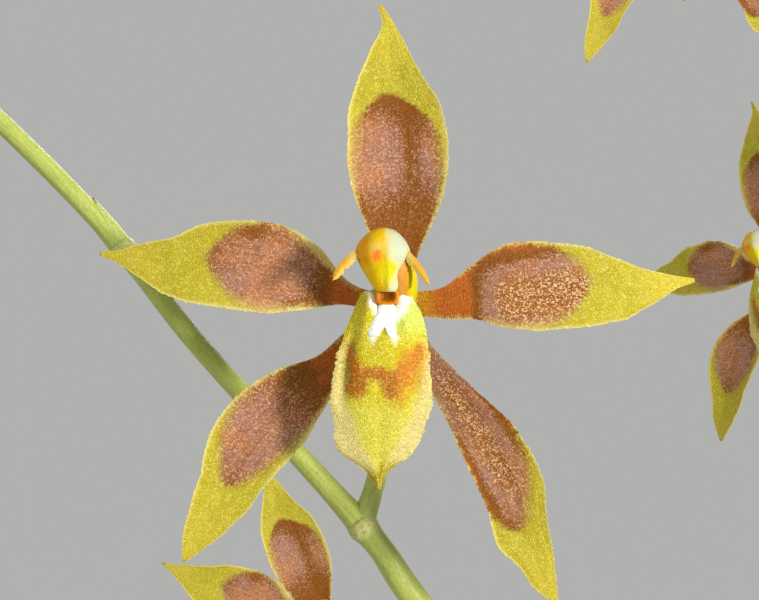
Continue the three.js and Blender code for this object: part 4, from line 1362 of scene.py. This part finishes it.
def add_club(form):
    """Column's body: from the bloom's centre up and forward into the cap, orange with a green right side."""
    knots = [(0, -0.3, 0.4), (0.3, -2.0, 1.0), (0.3, -3.8, 2.4), (-0.3, -4.8, 4.0), (-0.9, -5.0, 5.9)]
    path = curve_points(knots, 6)
    radii = [1.9, 2.05, 2.05, 1.95, 1.6]
    shares = [k / 4 for k in range(5)]
    form.tube(path, lambda k, angle: spline(shares, radii, k / (len(path) - 1)), 28, NO_PAINT)
    form.values = [
        (0.3 * hump(x, 0.8, 0.3), 0.9 * smooth(1.8, 1.1, x), 0.2, -0.7 * smooth(1.2, 1.8, x))
        for x in (point.x for point in form.points)
    ]


def add_stigma(form):
    """Dark hollow below the beak, its darkness painted shade, in a square orange rim."""
    def ring(step):
        reach, forward, dark = step

        def at(angle):
            square = 1 / max(abs(math.cos(angle)), abs(math.sin(angle))) ** 0.6
            x = -0.6 + reach * 0.92 * square * math.cos(angle)
            z = 0.65 + reach * 0.66 * square * math.sin(angle)
            return (x, -forward, z), (0, 0.95, dark, 0)

        return at

    form.skin(STIGMA_RINGS, 28, ring)


def wing_row(sign):
    """Cross-section of a drooping side wing with jagged edges."""
    root, tip = (Vector((x, -forward, up)) for x, forward, up in WINGS[sign])
    along = tip - root
    side = Vector((-along.z, 0, along.x)).normalized()

    def row(s):
        bend = 0.16 * math.sin(math.pi * s)
        ragged = 0.22 * ripple(s * 8, sign) + 0.16 * ripple(s * 20, sign + 4)
        middle = root + along * s + Vector((sign * bend, 0, bend * 0.75))

        def at(q, face):
            lower = smooth(0, 1, -q * sign) * smooth(0.05, 0.2, s)
            half = mix(0.5, 0.36 if sign < 0 else 0.3, s) * (1 - s**8) + ragged * lower
            place = middle + side * (q * half) + Vector((0, -face * mix(0.28, 0.12, abs(q)), 0))
            white = 0.35 * smooth(0.4, 0.1, s) + 0.3 * smooth(0, 0.8, -q * sign) + 0.1
            return place, (clamp(white), 0.2 + 0.4 * smooth(0, 0.9, q * sign), 0.14, 0)

        return at

    return row


def column_form(detail):
    form = Form()
    add_club(form)
    add_stigma(form)
    add_cap(form, round(44 * detail), round(56 * detail))
    for sign in WINGS:
        form.blade(round(46 * detail), 10, wing_row(sign))
    return form


def make_plant():
    """All of the plant and its pot but for the blooms."""
    keep_crisp(piece("clay_pot", pot_form(), clay_surface(), "clay", "pot"), CRISP_CLAY)
    keep_crisp(piece("bark_chips", bark_form(), bark_surface(), "bark", "bark"), CRISP_BARK)
    piece("rhizome_with_roots", roots_form(), root_surface(), "root", "rhizome_roots")
    material = bulb_surface()
    for index, bulb in enumerate(BULBS, 1):
        piece(f"bulb_{index}", bulb_form(bulb), material, "bulb", f"pseudobulb_{index}")
    material = leaf_surface()
    for index, leaf in enumerate(LEAVES, 1):
        piece(f"strap_leaf_{index}", leaf_form(leaf), material, "leaf", f"leaf_{index}")
    piece("flower_spray", spray_form(), stem_surface(), "stem", "flower_stem")


def make_blooms(tepal, lip, column):
    for index, bloom in enumerate(BLOOMS, 1):
        matrix = bloom_matrix(bloom)
        detail = NEAR if index == 1 else FAR
        tepals = tepals_form(bloom["lean"], detail["tepal"], index)
        blade = lip_form(detail["lip"], index)
        club = column_form(detail["column"])
        piece(f"star_{index}_tepals", tepals.moved(matrix), tepal, "tepal", f"bloom_{index}_tepals")
        piece(f"star_{index}_lip", blade.moved(matrix), lip, "lip", f"bloom_{index}_lip")
        piece(f"star_{index}_column", club.moved(matrix), column, "column", f"bloom_{index}_column")


# Stage: a pale floor that fades into the pale surroundings, soft lights, and the photograph's view
FLOOR_RADIUS = 3.0
FLOOR_DROP = 0.0002
FLOOR_FADE = (1.5, 0.35)
BACKGROUND = (0.80, 0.80, 0.784, 1)
BACKGROUND_STRENGTH = 0.55
CAMERA_PLACE = (-0.058, -0.245, 0.400)
FLOWER_DISTANCE = 200
FRAME_WIDTH = 75.9
SENSOR = 36


def floor_surface():
    s = Surface("floor_surface", {"Base Color": (0.5, 0.495, 0.485, 1), "Roughness": 0.9})
    distance = s.node("ShaderNodeVectorMath", s.place, operation="LENGTH").outputs["Value"]
    s.feed(s.shader.inputs["Alpha"], s.step(distance, *FLOOR_FADE))
    return s.material


def add_floor():
    mesh = bpy.data.meshes.new("floor")
    disc = {"cap_ends": True, "segments": 96, "radius": FLOOR_RADIUS}
    rework(mesh, lambda shell: bmesh.ops.create_circle(shell, **disc))
    mesh.materials.append(floor_surface())
    floor = scene_object("floor", mesh, (0, 0, -FLOOR_DROP))


def add_world():
    world = bpy.data.worlds.new("surroundings")
    bpy.context.scene.world = world
    world.use_nodes = True
    shade = world.node_tree.nodes["Background"]
    shade.inputs["Color"].default_value = BACKGROUND
    shade.inputs["Strength"].default_value = BACKGROUND_STRENGTH


def add_light(name, place, target, size, energy, tint=(1, 1, 1)):
    data = bpy.data.lights.new(name, "AREA")
    data.shape = "DISK"
    data.size = size
    data.energy = energy
    data.color = tint
    aim = Vector(target) - Vector(place)
    scene_object(name, data, place).rotation_euler = aim.to_track_quat("-Z", "Y").to_euler()


def add_camera():
    data = bpy.data.cameras.new("camera")
    data.sensor_fit = "HORIZONTAL"
    data.sensor_width = SENSOR
    data.lens = SENSOR * FLOWER_DISTANCE / FRAME_WIDTH
    data.clip_start = 0.01
    data.clip_end = 60
    camera = scene_object("camera", data, CAMERA_PLACE)
    camera.rotation_euler = (math.pi / 2, 0, 0)
    bpy.context.scene.camera = camera


def make_stage():
    add_floor()
    add_world()
    add_light("key", (1.27, -1.12, 0.56), (-0.05, -0.02, 0.38), 0.3, 43, (1, 0.97, 0.92))
    add_light("fill", (-1.3, -0.9, 0.9), (-0.05, 0, 0.3), 1.2, 9, (0.97, 0.98, 1))
    add_light("rim", (0.3, 1.5, 1.3), (-0.05, 0, 0.3), 0.8, 14)
    add_camera()
    bpy.context.scene.view_settings.view_transform = "Standard"


make_stage()
make_plant()
make_blooms(tepal_surface(), lip_surface(), column_surface())
